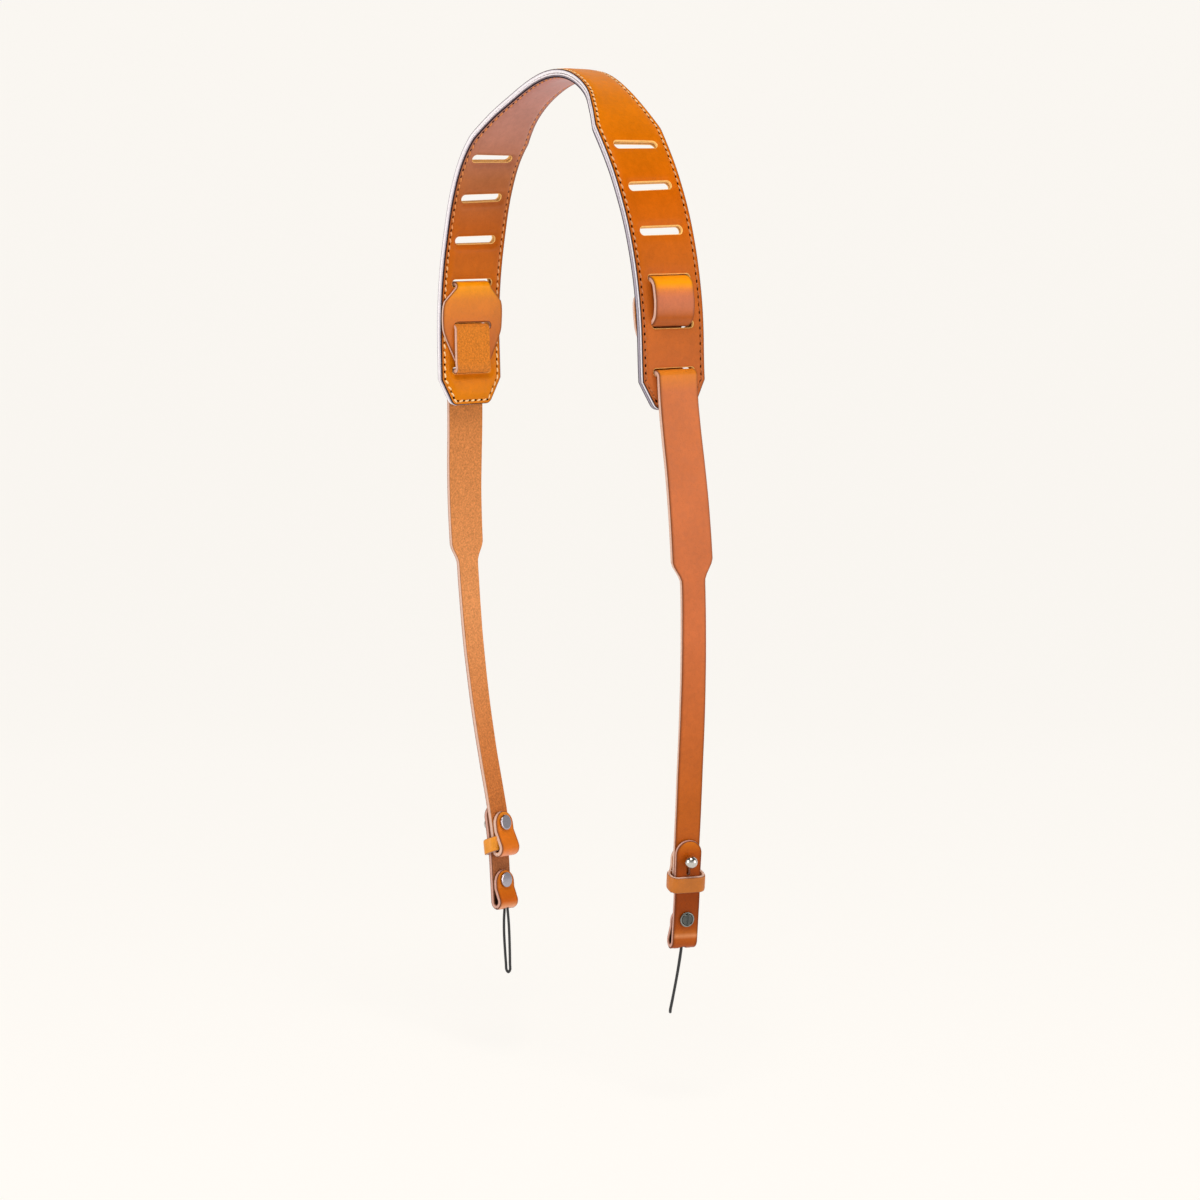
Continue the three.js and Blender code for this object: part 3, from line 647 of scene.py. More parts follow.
def pad_layer(low, high, inset, edge, grow):
    """One layer's plan. grow makes its slots larger, so that the core stays back from the slots' rims."""
    reach = PAD_HALF - inset
    stops = np.concatenate([np.arange(0, FIRST_SLOT - SLOT_PITCH / 2, PAD_STEP), reach - END_STOPS])
    stations = np.sort(np.concatenate([-stops[stops > 0], stops]))
    holes = [slot_hole(number, side, grow) for number in range(SLOT_COUNT) for side in (-1, 1)]
    stations, cells = with_cells(stations, holes, [SLOT_PITCH / 2] * len(holes))
    half = pad_half(stations) - inset - near_end(reach - np.abs(stations), CORNER_ROUND)
    return punched_sheet(stations, half, edge_columns(PAD_WIDTH / 2, PAD_COLUMN), cells, low, high, edge)


def pad_piece(name, node, low, high, inset, edge, face, grow=0):
    """A layer as a piece. face is +1 for the layer whose upper face shows, -1 for the lower one, 0 none.
    A layer with a face moves as one, and the core between them is pressed thinner from both sides."""
    (l, u, height, cut), faces = pad_layer(low, high, inset, edge, grow)
    share = np.clip((height - low) / (high - low), 0, 1)
    upper = {1: 1, -1: 0, 0: share}[face]
    pressed = squeeze(l, u) * ((1 - OUTER_SHARE) * (1 - upper) - OUTER_SHARE * upper)
    grooved = furrow(l, u) * {1: share, -1: share - 1, 0: 0 * share}[face]
    points = hang_point(l, u, height + (pressed - grooved) + undulation(l, u, *PAD_WAVES))
    punched = np.where(rim_distance(l, u)[0] < PUNCH_REACH, cut, 0)
    marks = {"cut": cut - punched, "punched": punched, "flesh": 1 - share if face > 0 else share,
             "level": (height - low) / LEVEL_REACH, "along": np.abs(l) / PAD_HALF,
             "half": 0.5 + 0.5 * l / PAD_HALF, "rim": burnish(inside_edge(l, u))}
    piece = make_piece(name, points, faces, marks, uv=np.stack([l, u]))
    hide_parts(node)
    return piece


outer_leather = pad_piece("neck_outer_leather", "pad_outer_leather", pad_high - OUTER_LEATHER, pad_high,
                          LEATHER_INSET, OUTER_ROUND, 1)
core = pad_piece("neck_core", "pad_core", core_low, core_low + CORE_THICK, CORE_INSET, CORE_ROUND,
                 0, CORE_BACK)
inner_leather = pad_piece("neck_inner_leather", "pad_inner_leather", pad_low, pad_low + INNER_LEATHER,
                          LEATHER_INSET, LINING_ROUND, -1)

# %% [markdown]
# ## The stitches
# Waxed thread runs all round, 2.6 mm in from the edge, a stitch every 4 mm. Each one is a short plump
# thread that dives into its holes at both ends, and leans a little, as lock stitches do. A few hundred
# of them are needed on each face, so each has only a few dozen faces.

# %% Line of stitches
STITCH_PITCH = 4.1
LINE_SAMPLE = 1.0
LOOK_BACK = 0.5
NEAR_BATCH = 1000


def stitch_line():
    """Closed line in the plan, an even distance inside the outline."""
    l = np.arange(-(PAD_HALF - STITCH_INSET), PAD_HALF - STITCH_INSET + 0.01, LINE_SAMPLE)
    slant = np.gradient(pad_half(l), l)
    u = pad_half(l) - STITCH_INSET * np.hypot(1, slant)
    return np.concatenate([np.stack([l, u]), np.stack([l, -u])[:, ::-1], np.stack([l, u])[:, :1]], axis=1)


def stitch_plan(shift=0.0):
    """Middle and direction of each stitch, evenly spaced along the line, or moved on by part of a stitch."""
    line = stitch_line()
    length = np.concatenate([[0], np.cumsum(np.linalg.norm(np.diff(line, axis=1), axis=0))])
    count = int(round(length[-1] / STITCH_PITCH))
    at = (np.arange(count) + 0.5) * length[-1] / count
    at = at + shift * length[-1] / count
    spot = np.stack([np.interp(at, length, line[axis]) for axis in (0, 1)])
    ahead = spot - np.stack([np.interp(at - LOOK_BACK, length, line[axis]) for axis in (0, 1)])
    return spot, ahead / np.linalg.norm(ahead, axis=0)


def nearest(points, places, values):
    """For each point the value of the place nearest to it, found a thousand points at a time."""
    found = [np.argmin(((part[:, :, None] - places[:, None]) ** 2).sum(axis=0), axis=1)
             for part in np.array_split(points, max(1, points.shape[1] // NEAR_BATCH), axis=1)]
    return values[np.concatenate(found)]


print(stitch_plan()[0].shape[1], "stitches on each face")

# %% Stitches
STITCH_LENGTH = 3.1
STITCH_LEAN = math.radians(16)
LEAN_SPREAD = math.radians(2.5)
WIDTH_SPREAD = 0.05
THREAD = 0.95
THREAD_SIDES = 6
THREAD_WIDE = 1.15
THREAD_FLAT = 0.85
STITCH_RISE = 0.16
STITCH_DIVE = 0.62
# Shares of a stitch's half length, and how plump the thread is there
STITCH_STOPS = np.array([-1, -0.86, -0.5, 0, 0.5, 0.86, 1])
STITCH_PLUMP = np.array([0.55, 0.85, 1, 1.05, 1, 0.85, 0.55])
HOLE_LONG = 1.0
HOLE_WIDE = 0.62
HOLE_SHIFT = 0.35
HOLE_BETWEEN = 0.49
HOLE_SIDES = 8
# Shares of an awl hole's size, and the height of that ring over the leather
HOLE_RINGS = np.array([0.6, 1.0, 0.6])
HOLE_HEIGHTS = np.array([-0.2, 0.02, 0.07])


def laid(spot, ahead, a, b):
    """Plan points of a small shape at each spot: a along the spot's direction and b to the left of it."""
    spot, ahead = spot[:, :, None, None], ahead[:, :, None, None]
    return spot[0] + ahead[0] * a - ahead[1] * b, spot[1] + ahead[1] * a + ahead[0] * b


def stitches(name, face, level, seed):
    """A thread for each stitch: its height falls with the fourth power of the share of its half length, so
    it runs level and dives at both ends, and its section is a flattened circle."""
    spot, ahead = stitch_plan()
    random = np.random.default_rng(seed)
    count = spot.shape[1]
    lean = face * STITCH_LEAN + random.normal(0, LEAN_SPREAD, count)
    ahead = np.stack([ahead[0] * np.cos(lean) - ahead[1] * np.sin(lean),
                      ahead[0] * np.sin(lean) + ahead[1] * np.cos(lean)])
    wide = 1 + random.normal(0, WIDTH_SPREAD, count)[:, None, None]
    angle = np.arange(THREAD_SIDES) / THREAD_SIDES * 2 * np.pi
    plump = STITCH_PLUMP[:, None] * THREAD / 2
    rise = (STITCH_RISE - STITCH_DIVE * STITCH_STOPS ** 4)[:, None]
    l, u = laid(spot, ahead, (STITCH_STOPS * STITCH_LENGTH / 2)[:, None] + 0 * angle,
                plump * np.cos(angle) * THREAD_WIDE * wide)
    bed = pad_relief(spot[0], spot[1], face)[:, None, None]
    height = level + face * (bed + rise + plump * np.sin(angle) * THREAD_FLAT)
    points = hang_point(l, u, height + undulation(l, u, *PAD_WAVES))
    merged, faces = weld([(capped(points[:, index]), True) for index in range(count)])
    far = nearest(merged, hang_point(spot[0], spot[1], level), np.abs(spot[0]) / PAD_HALF)
    return make_piece(name, merged, faces, {"along": far})


def awl_hole_shade(name, face, level):
    """Painted shade of the awl hole between each two threads: a dark lens of three flattened rings."""
    spot, ahead = stitch_plan(HOLE_BETWEEN)
    angle = np.arange(HOLE_SIDES) / HOLE_SIDES * 2 * np.pi
    size = HOLE_RINGS[:, None]
    l, u = laid(spot, ahead, size * HOLE_LONG * np.cos(angle), size * HOLE_WIDE * np.sin(angle))
    u = u - HOLE_SHIFT
    height = level + face * (pad_relief(l, u, face) + HOLE_HEIGHTS[:, None] + 0 * angle)
    points = hang_point(l, u, height + undulation(l, u, *PAD_WAVES))
    merged, faces = weld([(capped(points[:, index]), True) for index in range(spot.shape[1])])
    return make_piece(name, merged, faces, {})


outer_stitches = stitches("neck_outer_stitches", 1, pad_high, 5)
inner_stitches = stitches("neck_inner_stitches", -1, pad_low, 9)
outer_hole_shade = awl_hole_shade("neck_outer_awl_hole_shade", 1, pad_high)
inner_hole_shade = awl_hole_shade("neck_inner_awl_hole_shade", -1, pad_low)

# %% [markdown]
# ## Routes of bent leather
# The strap and the connector are flat strips that turn round slots and fold back on themselves. Their
# route is drawn in the plane of length and outward distance: straight runs, with an arc at each corner.

# %% Route with rounded corners
RUN_STEP = 2.6
ARC_STEP = math.radians(9)


def route(corners):
    """Samples of a route: length along the hang line, outward distance, heading and own length. Each
    corner is along, out and the arc's radius; the arc touches both runs at radius x tan(swing / 2)."""
    spots, headings = [], []
    heading = None
    start = np.array(corners[0][:2], dtype=float)

    def run(to):
        parts = max(1, math.ceil(np.linalg.norm(to - start) / RUN_STEP))
        share = np.arange(1 if spots else 0, parts + 1)[:, None] / parts
        spots.append(start + share * (to - start))
        headings.append(np.full(len(share), heading))

    for before, here, after in zip(corners[:-2], corners[1:-1], corners[2:]):
        into = np.subtract(here[:2], before[:2]) / math.dist(here[:2], before[:2])
        away = np.subtract(after[:2], here[:2]) / math.dist(after[:2], here[:2])
        swing = math.atan2(into[0] * away[1] - into[1] * away[0], into @ away)
        if heading is None:
            heading = math.atan2(into[1], into[0])
        run(np.array(here[:2]) - into * here[2] * math.tan(abs(swing) / 2))
        start = spots[-1][-1]
        centre = start + np.array([-into[1], into[0]]) * here[2] * np.sign(swing)
        turn = swing * np.arange(1, max(2, math.ceil(abs(swing) / ARC_STEP)) + 1)
        turn = turn / len(turn)
        arm = start - centre
        spots.append(centre + np.stack([arm[0] * np.cos(turn) - arm[1] * np.sin(turn),
                                        arm[0] * np.sin(turn) + arm[1] * np.cos(turn)], axis=1))
        headings.append(heading + turn)
        heading += swing
        start = spots[-1][-1]
    run(np.array(corners[-1][:2], dtype=float))
    spots = np.concatenate(spots)
    length = np.concatenate([[0], np.cumsum(np.linalg.norm(np.diff(spots, axis=0), axis=1))])
    return spots[:, 0], spots[:, 1], np.concatenate(headings), length


def on_route(path, l, across, height):
    """Point on a route at its own length l, lifted off the strip's middle by height."""
    along, out, heading, length = path
    angle = np.interp(l, length, heading)
    return hang_point(np.interp(l, length, along) - np.sin(angle) * height, across,
                      np.interp(l, length, out) + np.cos(angle) * height)


# %% [markdown]
# ## The straps
# Each strap starts as a broad tab on the inside, comes out through one slot, goes back in through the
# next and through a slit in its own tab, crosses the tab, and comes out through the last slot to hang
# down outside. It narrows towards its end, where it folds back and is held by the stud.

# %% Sizes and route of the straps
STRAP_THICK = 2.8
STRAP_WIDTHS = {1: 25.1, -1: 23.3}
NARROW_WIDTH = 14.5
TAPER_DROP = 80
TAPER_LENGTH = 12
STRIP_WAVES = (6, 0.06)
STRIP_EDGE = 0.5
STRAP_COLUMN = 1.6

# The tab: its outline from its end to the strap, and how it lies
TAB_WIDTH = 41
TAB_LENGTH = 46
TAB_THICK = 1.9
TAB_REST = 0.1
TAB_CORNER = 2.2
TAB_PLAN = np.array([[0.00, 0], [0.04, 0.04], [0.14, 0.5], [0.23, 0.93], [0.28, 1], [0.54, 1], [0.60, 0.95],
                     [0.73, 0.68], [0.86, 0.34], [1.00, 0]])
SKIVE_BEFORE = 4
SKIVE_LENGTH = 6

# The laced part: how the loop rises, and how far each run sways to the side after the tab
LOOP_RISE = 0.6
LOOP_CROWN = 0.9
LOOP_FALL = 0.6
LOOP_ROUND = 40
LOOP_BEND = 6
LOOP_SWAY = -0.7
CROSS_SWAY = -1.6
SWAY = np.array([[0, 0], [12, LOOP_SWAY], [20, LOOP_SWAY], [32, CROSS_SWAY], [60, CROSS_SWAY], [70, 0]])
LACE_BEND = 2.2
LACE_SEAT = 0.5
CROSS_SHIFT = 0.25
LAST_SHIFT = 0.25
SLIT_SHIFT = 0.4
SLOT_PLAY = 1

# The fold at the lower end, and the stud that holds it
FOLD_DEPTH = 7.6
FOLD_BEND = 3
FOLD_LIFT = 1.8
FOLD_TIGHT = 0.9
FLAP_BEND = 2.6
FLAP_TIP = 6.6
STUD_RISE = 21.4
STUD_HEAD = 8
BALL_NECK = 3
TIP_WIDTH = 1.2
TIP_STEPS = 12

# Half length of each hole's cell, and what a corner's radius leaves of a slit's half width
STRAP_CELLS = (6.5, 4.5, 4.2)
CORNER_LEFT = 0.01

slot_c, slot_b, slot_a = slots_at[FIRST_LACED:]
strap_out = pad_high + LACE_SEAT + STRAP_THICK / 2
tab_face = pad_low + (1 - OUTER_SHARE) * TAB_SINK - TAB_REST
tab_out = tab_face - TAB_THICK / 2
over_tab = tab_face - TAB_THICK - TAB_REST - STRAP_THICK / 2
fold_bottom = PAD_HALF + STRAP_DROP - STRAP_THICK / 2
stud_at = PAD_HALF + STRAP_DROP - STUD_RISE
flap_out = strap_out - STRAP_THICK - GAP
flap_start = stud_at + STUD_HEAD / 2 + FLAP_BEND / 4
fold_back = FOLD_TIGHT * (FOLD_DEPTH - FOLD_BEND - GAP)
up_out, down_in, last_out = slot_c + LACE_SHIFT, slot_b - CROSS_SHIFT, slot_a + LAST_SHIFT
strap_route = route([
    (slot_c + TAB_LENGTH, tab_out),
    (up_out, tab_out, LACE_BEND),
    (up_out, strap_out + LOOP_RISE, LOOP_BEND),
    ((slot_b + slot_c) / 2, strap_out + LOOP_RISE + LOOP_CROWN, LOOP_ROUND),
    (down_in, strap_out + LOOP_RISE - LOOP_FALL, LOOP_BEND),
    (down_in, over_tab, LACE_BEND),
    (last_out, over_tab, LACE_BEND),
    (last_out, strap_out, LACE_BEND),
    (fold_bottom - FOLD_LIFT, strap_out, FOLD_BEND),
    (fold_bottom - FOLD_LIFT, strap_out - FOLD_DEPTH, fold_back),
    (flap_start, flap_out, FLAP_BEND),
    (stud_at - FLAP_TIP, flap_out),
])
print("strap route", len(strap_route[0]), "samples,", round(float(strap_route[3][-1]), 1), "mm long")

# %% Plan of the strap
tab_swell = column(TAB_PLAN, 1)


def round_tip(distance, width, body):
    """Half width near a half-round tip of that width: the circle's chord at that distance."""
    radius = width / 2
    inside = np.clip(radius - distance, 0, radius)
    return np.where(distance < radius, np.maximum(TIP_WIDTH / 2, np.sqrt(radius ** 2 - inside ** 2)), body)


def tip_stops(length, radius):
    """Extra stations towards a half-round tip, closer together where its outline turns."""
    return length - radius * (1 - np.sin(np.linspace(0, np.pi / 2, TIP_STEPS)))


def strap_half(l, width):
    """Half the strap's width: swelling tab, even strap, short taper, round tip."""
    along = np.interp(l, strap_route[3], strap_route[0])
    tab = width + tab_swell(1 - l / TAB_LENGTH) * (TAB_WIDTH - width)
    taper = np.clip((along - PAD_HALF - TAPER_DROP) / TAPER_LENGTH, 0, 1)
    body = width + taper ** 2 * (3 - 2 * taper) * (NARROW_WIDTH - width)
    half = np.where(l < TAB_LENGTH, tab, body) / 2 - near_end(l, TAB_CORNER)
    return round_tip(strap_total - l, NARROW_WIDTH, half)


def laced(l, u, height):
    """The tab is skived thinner than the strap, and the loop and the crossing lie a little off centre."""
    thin = TAB_THICK / STRAP_THICK
    skive = thin + (1 - thin) * np.clip((l - TAB_LENGTH + SKIVE_BEFORE) / SKIVE_LENGTH, 0, 1)
    return u + np.interp(l, TAB_LENGTH + SWAY[:, 0], SWAY[:, 1]), height * skive


def round_hole(at, radius):
    """A punched hole in a plan: its centre, half length, half width and corner radius."""
    return at, radius, radius, radius


def strap_plan(width):
    """Plan of one strap: its slit for the crossing, and the stud's two holes."""
    slit_at = slot_c + TAB_LENGTH - slot_b + SLIT_SHIFT
    stud_length = float(np.interp(stud_at, strap_route[0][outer_run], strap_route[3][outer_run]))
    holes = [
        (slit_at, SLOT_HEIGHT / 2, width / 2 + SLOT_PLAY, SLOT_HEIGHT / 2 - CORNER_LEFT),
        round_hole(stud_length, stud_hole),
        round_hole(strap_total - FLAP_TIP, stud_hole),
    ]
    stops = np.concatenate([strap_route[3], END_STOPS[:8], tip_stops(strap_total, NARROW_WIDTH / 2)])
    stops, cells = with_cells(np.unique(stops.round(6)), holes, STRAP_CELLS)
    return punched_sheet(stops, strap_half(stops, width), edge_columns(width / 2, STRAP_COLUMN), cells,
                         -STRAP_THICK / 2, STRAP_THICK / 2, STRIP_EDGE)


strap_total = float(strap_route[3][-1])
outer_run = np.isclose(strap_route[1], strap_out)
stud_hole = BALL_NECK / 2 + GAP
print("half width of the tab", round(float(strap_half(TAB_LENGTH / 2, STRAP_WIDTHS[1])), 1), "mm")


# %% Straps bent into place
def strip_piece(name, node, route_path, sheet, half, thick, side, shaped=None):
    """A strip bent along its route, with marks for its flesh side, its cut edge and its length."""
    (l, u, height, cut), faces = sheet
    marks = {"cut": cut, "flesh": 0.5 - height / thick, "along": l / route_path[3][-1],
             "rim": burnish(half(l) - np.abs(u))}
    across, lift = shaped(l, u, height) if shaped else (u, height)
    points = on_route(route_path, l, across, lift + undulation(l, u, *STRIP_WAVES))
    piece = make_piece(name, points, faces, marks, side, np.stack([l, u]))
    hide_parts(node)
    return piece


straps = []
for side, word in SIDES:
    width = STRAP_WIDTHS[side]
    straps.append(strip_piece(f"strap_leather_{word}", f"strap_{word}", strap_route, strap_plan(width),
                              lambda l: strap_half(l, width), STRAP_THICK, side, laced))
strap_crown = float(strap_route[3][np.argmax(strap_route[0])])
print("strap length", round(strap_total, 1), "mm, turning at", round(strap_crown / strap_total, 3))

# %% [markdown]
# ## The connector strips
# A short strip buttons onto the strap's ball stud through a keyhole and folds up at its lower end, where
# a slotted screw holds the fold and the cord comes out of a hole in the crown.

# %% Sizes and route of the connectors
CONNECTOR_THICK = 2.6
CONNECTOR_WIDTH = 14.8
CONNECTOR_TIP = 11.2
CONNECTOR_DROP = 28.9
CONNECTOR_FOLD = 6.8
CONNECTOR_BEND = 3.3
SCREW_BEND = 2.4
SCREW_RISE = 16.9
CONNECTOR_FLAP = 5.8
SCREW_HEAD = 8.2
SCREW_POST = 4
KEYHOLE_SLIT = 7.4
KEYHOLE_WIDTH = 1.7
CORD_HOLE = 4.4

half_connector = CONNECTOR_THICK / 2
connector_out = strap_out + STRAP_THICK / 2 + GAP + half_connector
connector_face = connector_out + half_connector
connector_end = PAD_HALF + STRAP_DROP + CONNECTOR_DROP
connector_fold = connector_end - half_connector
screw_at = connector_end - SCREW_RISE
inner_flap_out = connector_out - CONNECTOR_THICK - GAP
inner_flap_face = inner_flap_out - half_connector
screw_flap = screw_at + SCREW_HEAD / 2 + SCREW_BEND / 4
connector_route = route([
    (stud_at - CONNECTOR_TIP, connector_out),
    (connector_fold, connector_out, CONNECTOR_BEND),
    (connector_fold, connector_out - CONNECTOR_FOLD, CONNECTOR_BEND),
    (screw_flap, inner_flap_out, SCREW_BEND),
    (screw_at - CONNECTOR_FLAP, inner_flap_out),
])
connector_total = float(connector_route[3][-1])
connector_crown = float(connector_route[3][np.argmax(connector_route[0])])
print("connector length", round(connector_total, 1), "mm, turning at",
      round(connector_crown / connector_total, 3))

# %% Connectors
KEYHOLE_DROP = 0.4
KEYHOLE_EASE = 0.6
CONNECTOR_COLUMN = 1.5
CONNECTOR_CELLS = (6.6, 4.6, 4.6, 4.4)

screw_hole = SCREW_POST / 2 + GAP
connector_holes = [
    (CONNECTOR_TIP + KEYHOLE_SLIT / 2 + KEYHOLE_DROP, KEYHOLE_SLIT / 2 + KEYHOLE_EASE, KEYHOLE_WIDTH / 2,
     KEYHOLE_WIDTH / 2 - CORNER_LEFT),
    round_hole(screw_at - stud_at + CONNECTOR_TIP, screw_hole),
    round_hole(connector_crown, CORD_HOLE / 2),
    round_hole(connector_total - CONNECTOR_FLAP, screw_hole),
]
tips = tip_stops(connector_total, CONNECTOR_WIDTH / 2)
stops = np.unique(np.concatenate([connector_route[3], connector_total - tips, tips]).round(6))
stops, connector_cells = with_cells(stops, connector_holes, CONNECTOR_CELLS)
halves = round_tip(np.minimum(stops, connector_total - stops), CONNECTOR_WIDTH, CONNECTOR_WIDTH / 2)
columns = edge_columns(CONNECTOR_WIDTH / 2, CONNECTOR_COLUMN)
sheet = punched_sheet(stops, halves, columns, connector_cells, -half_connector, half_connector, STRIP_EDGE)
connectors = [strip_piece(f"connector_leather_{word}", f"connector_{word}", connector_route, sheet,
                          lambda l: np.interp(l, stops, halves), CONNECTOR_THICK, side)
              for side, word in SIDES]

# %% [markdown]
# ## The keeper rings
# A narrow band of bright leather is closed into a ring and holds the connector against the strap. Its
# section, a wall whose corners are softened, is carried round a rounded rectangle.

# %% Keepers
KEEPER_HEIGHT = 8.6
KEEPER_WALL = 2.1
KEEPER_PLAY = 1.2
KEEPER_LIFT = 1.8
KEEPER_BEND = 2.4
KEEPER_LEAN = 0.26
KEEPER_SEAT = 0.05
# Powers below 1 square the section off, across the wall and up it
WALL_SQUARE = 0.45
WALL_UPRIGHT = 0.3
WALL_STEPS = 28
RING_STEPS = 25
# The cut edge starts at this share of the half height, and it reaches its full mark over the rest
CUT_START = 0.9

keeper_low = strap_out - STRAP_THICK / 2 - GAP - KEEPER_SEAT
keeper_high = connector_face + GAP + KEEPER_SEAT
keeper_half = max(CONNECTOR_WIDTH, NARROW_WIDTH) / 2 + KEEPER_PLAY
keeper_middle = fold_bottom - STRAP_THICK / 2 - KEEPER_LIFT - KEEPER_HEIGHT / 2


def keeper_ring():
    """Rounded rectangle grown by a wall: for each share of the wall the outline's four sides, for each
    height along the ring; the section itself is a squared-off ellipse of wall by height."""
    share = np.linspace(0, 1, RING_STEPS)
    angle = np.arange(WALL_STEPS) / WALL_STEPS * 2 * np.pi
    wall = KEEPER_WALL / 2 * (1 + np.sign(np.cos(angle)) * np.abs(np.cos(angle)) ** WALL_SQUARE)
    height = KEEPER_HEIGHT / 2 * np.sign(np.sin(angle)) * np.abs(np.sin(angle)) ** WALL_UPRIGHT
    opening = (0, (keeper_high - keeper_low) / 2, keeper_half, KEEPER_BEND)
    out, across = np.stack([hole_rim(opening, grow, share, share) for grow in wall], axis=2)
    points = seat(across, out + (keeper_high + keeper_low) / 2, height + KEEPER_LEAN * out, keeper_middle)
    cut = np.clip((np.abs(height) / (KEEPER_HEIGHT / 2) - CUT_START) / (1 - CUT_START), 0, 1)
    marks = [np.broadcast_to(value, out.shape) for value in (cut, 1 - wall / KEEPER_WALL)]
    ring = np.concatenate([points, marks])
    return np.concatenate([ring, ring[:, :1]], axis=1)


keeper_points, keeper_faces = weld([(keeper_ring(), True)])
keepers = []
for side, word in SIDES:
    ring = make_piece(f"keeper_band_{word}", keeper_points[:3], keeper_faces,
                      {"cut": keeper_points[3], "flesh": keeper_points[4]}, side,
                      keeper_points[:2])
    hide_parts(f"keeper_{word}")
    keepers.append(ring)

# %% [markdown]
# ## Turned metal
# The ball stud and the discs are turned on a lathe, so each is a profile of radius and height that is
# spun round its axis. The slotted head is a disc laid out in columns that line up with its slot, so that
# the slot's walls are straight and its edges can be broken by a small bevel.

# %% Ball and discs
BALL = 7.0
BALL_LIFT = -0.5
BALL_STEPS = 26
HEAD_THICK = 1.2
HEAD_RIM = 0.35
HEAD_BREAK = 0.15
HEAD_SHARE = 1.3
BACK_DISC = 8.7
DISC_RIM = (20, 40, 60, 80)
DISC_STOPS = (0.8, 0.6, 0.3)
DISC_DOME = 0.3
TURNS = 64
flap_inner = flap_out - STRAP_THICK / 2


def turned(profile, along):
    """Surface of revolution: (radius cos a, height, radius sin a), seated at a length along the leather."""
    radius, height = np.array(profile, dtype=float).T[:, :, None]
    angle = np.arange(TURNS) / TURNS * 2 * np.pi
    return seat(radius * np.cos(angle), height + 0 * angle, radius * np.sin(angle), along)


def ball_profile():
    """Post, and the ball's arc from a little above the post to its top."""
    ball, neck = BALL / 2, BALL_NECK / 2
    centre = connector_face + BALL_LIFT + ball
    meeting = math.acos(neck / ball)
    post = [(0, flap_inner), (neck, flap_inner), (neck, centre - ball * math.sin(meeting))]
    arc = [(ball * math.cos(a), centre + ball * math.sin(a))
           for a in np.linspace(math.radians(2) - meeting, np.pi / 2, BALL_STEPS)[:-1]]
    return post + arc + [(0, centre + ball)]


def disc_profile(start):
    """Flat head that reaches inwards from its start, with a rounded rim and a slightly domed face."""
    radius, face = BACK_DISC / 2, start - HEAD_THICK
    points = [(0, start), (radius - HEAD_BREAK, start), (radius, start - HEAD_BREAK),
              (radius, face + HEAD_RIM * HEAD_SHARE)]
    points += [(radius - HEAD_RIM * (1 - math.cos(a)), face + HEAD_RIM * (HEAD_SHARE - math.sin(a)))
               for a in np.radians(DISC_RIM)]
    points += [(radius * share, face + DISC_DOME * HEAD_RIM * share ** 2) for share in DISC_STOPS]
    return points + [(0, face)]


print("ball", BALL, "mm, discs", BACK_DISC, "mm")

# %% Slotted screw head
# The slot, the ring pressed into the face and darkened as painted shade, the darker disc inside it and the
# rounded rim
SCREW_SLOT = 0.8
SCREW_DEPTH = 0.35
SCREW_BREAK = 0.12
SCREW_COLUMNS = 30
SCREW_ROWS = 61
RING_AT = 0.76
RING_WIDTH = 0.055
RING_DEPTH = 0.38
INNER_AT = 0.7
INNER_FADE = 0.1
INNER_DEPTH = 0.12
INNER_DARK = 0.35
FACE_DOME = 0.22
FACE_RIM = 0.16
FACE_RIM_AT = 0.93
POST_SHARE = SCREW_POST / SCREW_HEAD
FOOT_SHARE = 0.97
WING_END = 0.2
WING_GAP = 0.1


def slotted_head(radius, start):
    """Screw head: columns across the slot, rows v along it, point (x, v sqrt(r^2 - x^2)). The columns at
    the slot's two sides are there twice, once on the face and once on the floor."""
    half = SCREW_SLOT / 2
    wing = radius * np.sin(np.linspace(np.pi / 2, WING_END, SCREW_COLUMNS))
    wing = wing[wing > half + SCREW_BREAK + WING_GAP]
    slot = [-half - SCREW_BREAK, -half, -half, 0, half, half, half + SCREW_BREAK]
    x = np.concatenate([-wing, slot, wing[::-1]])[:, None]
    beside = np.zeros(len(wing))
    floor = [0, SCREW_BREAK, SCREW_DEPTH, SCREW_DEPTH, SCREW_DEPTH, SCREW_BREAK, 0]
    floor = np.concatenate([beside, floor, beside])[:, None]
    v = np.sin(np.linspace(-np.pi / 2, np.pi / 2, SCREW_ROWS))
    y = v * np.sqrt(np.maximum(radius ** 2 - x ** 2, 1e-6))
    away = np.hypot(x, y) / radius
    rim = np.clip(away - FACE_RIM_AT, 0, 1) / (1 - FACE_RIM_AT)
    ring = RING_DEPTH * np.exp(-((away - RING_AT) / RING_WIDTH) ** 2)
    ring = ring + INNER_DEPTH * np.clip((INNER_AT - away) / INNER_FADE, 0, 1)
    height = start + HEAD_THICK - FACE_DOME * away ** 4 - FACE_RIM * rim - ring - floor
    return x + 0 * y, y, height, np.clip(ring / RING_DEPTH, 0, 1) + INNER_DARK * (away < INNER_AT)


def screw_grids():
    """The slotted face, its side wall and its post."""
    start = connector_face + GAP
    x, z, y, sunk = slotted_head(SCREW_HEAD / 2, start)
    face = np.concatenate([seat(x, y, z, screw_at), sunk[None]])
    rim_x, rim_y, rim_z = (
        np.concatenate([value[:, 0], value[-1, 1:], value[::-1, -1][1:], value[0, ::-1][1:-1]])
        for value in (x, y, z))
    levels = [(1, start + SCREW_BREAK), (FOOT_SHARE, start), (POST_SHARE, start),
              (POST_SHARE, inner_flap_face), (0, inner_flap_face)]
    wall = [seat(rim_x, rim_y, rim_z, screw_at)]
    wall += [seat(rim_x * grow, level + 0 * rim_y, rim_z * grow, screw_at) for grow, level in levels]
    wall = np.stack(wall, axis=1)
    return [(face, False), (np.concatenate([wall, 0 * wall[:1]]), True)]


print("screw slot", SCREW_SLOT, "mm wide and", SCREW_DEPTH, "mm deep")

# %% Studs and screws
SHARP_ANGLE = math.radians(38)
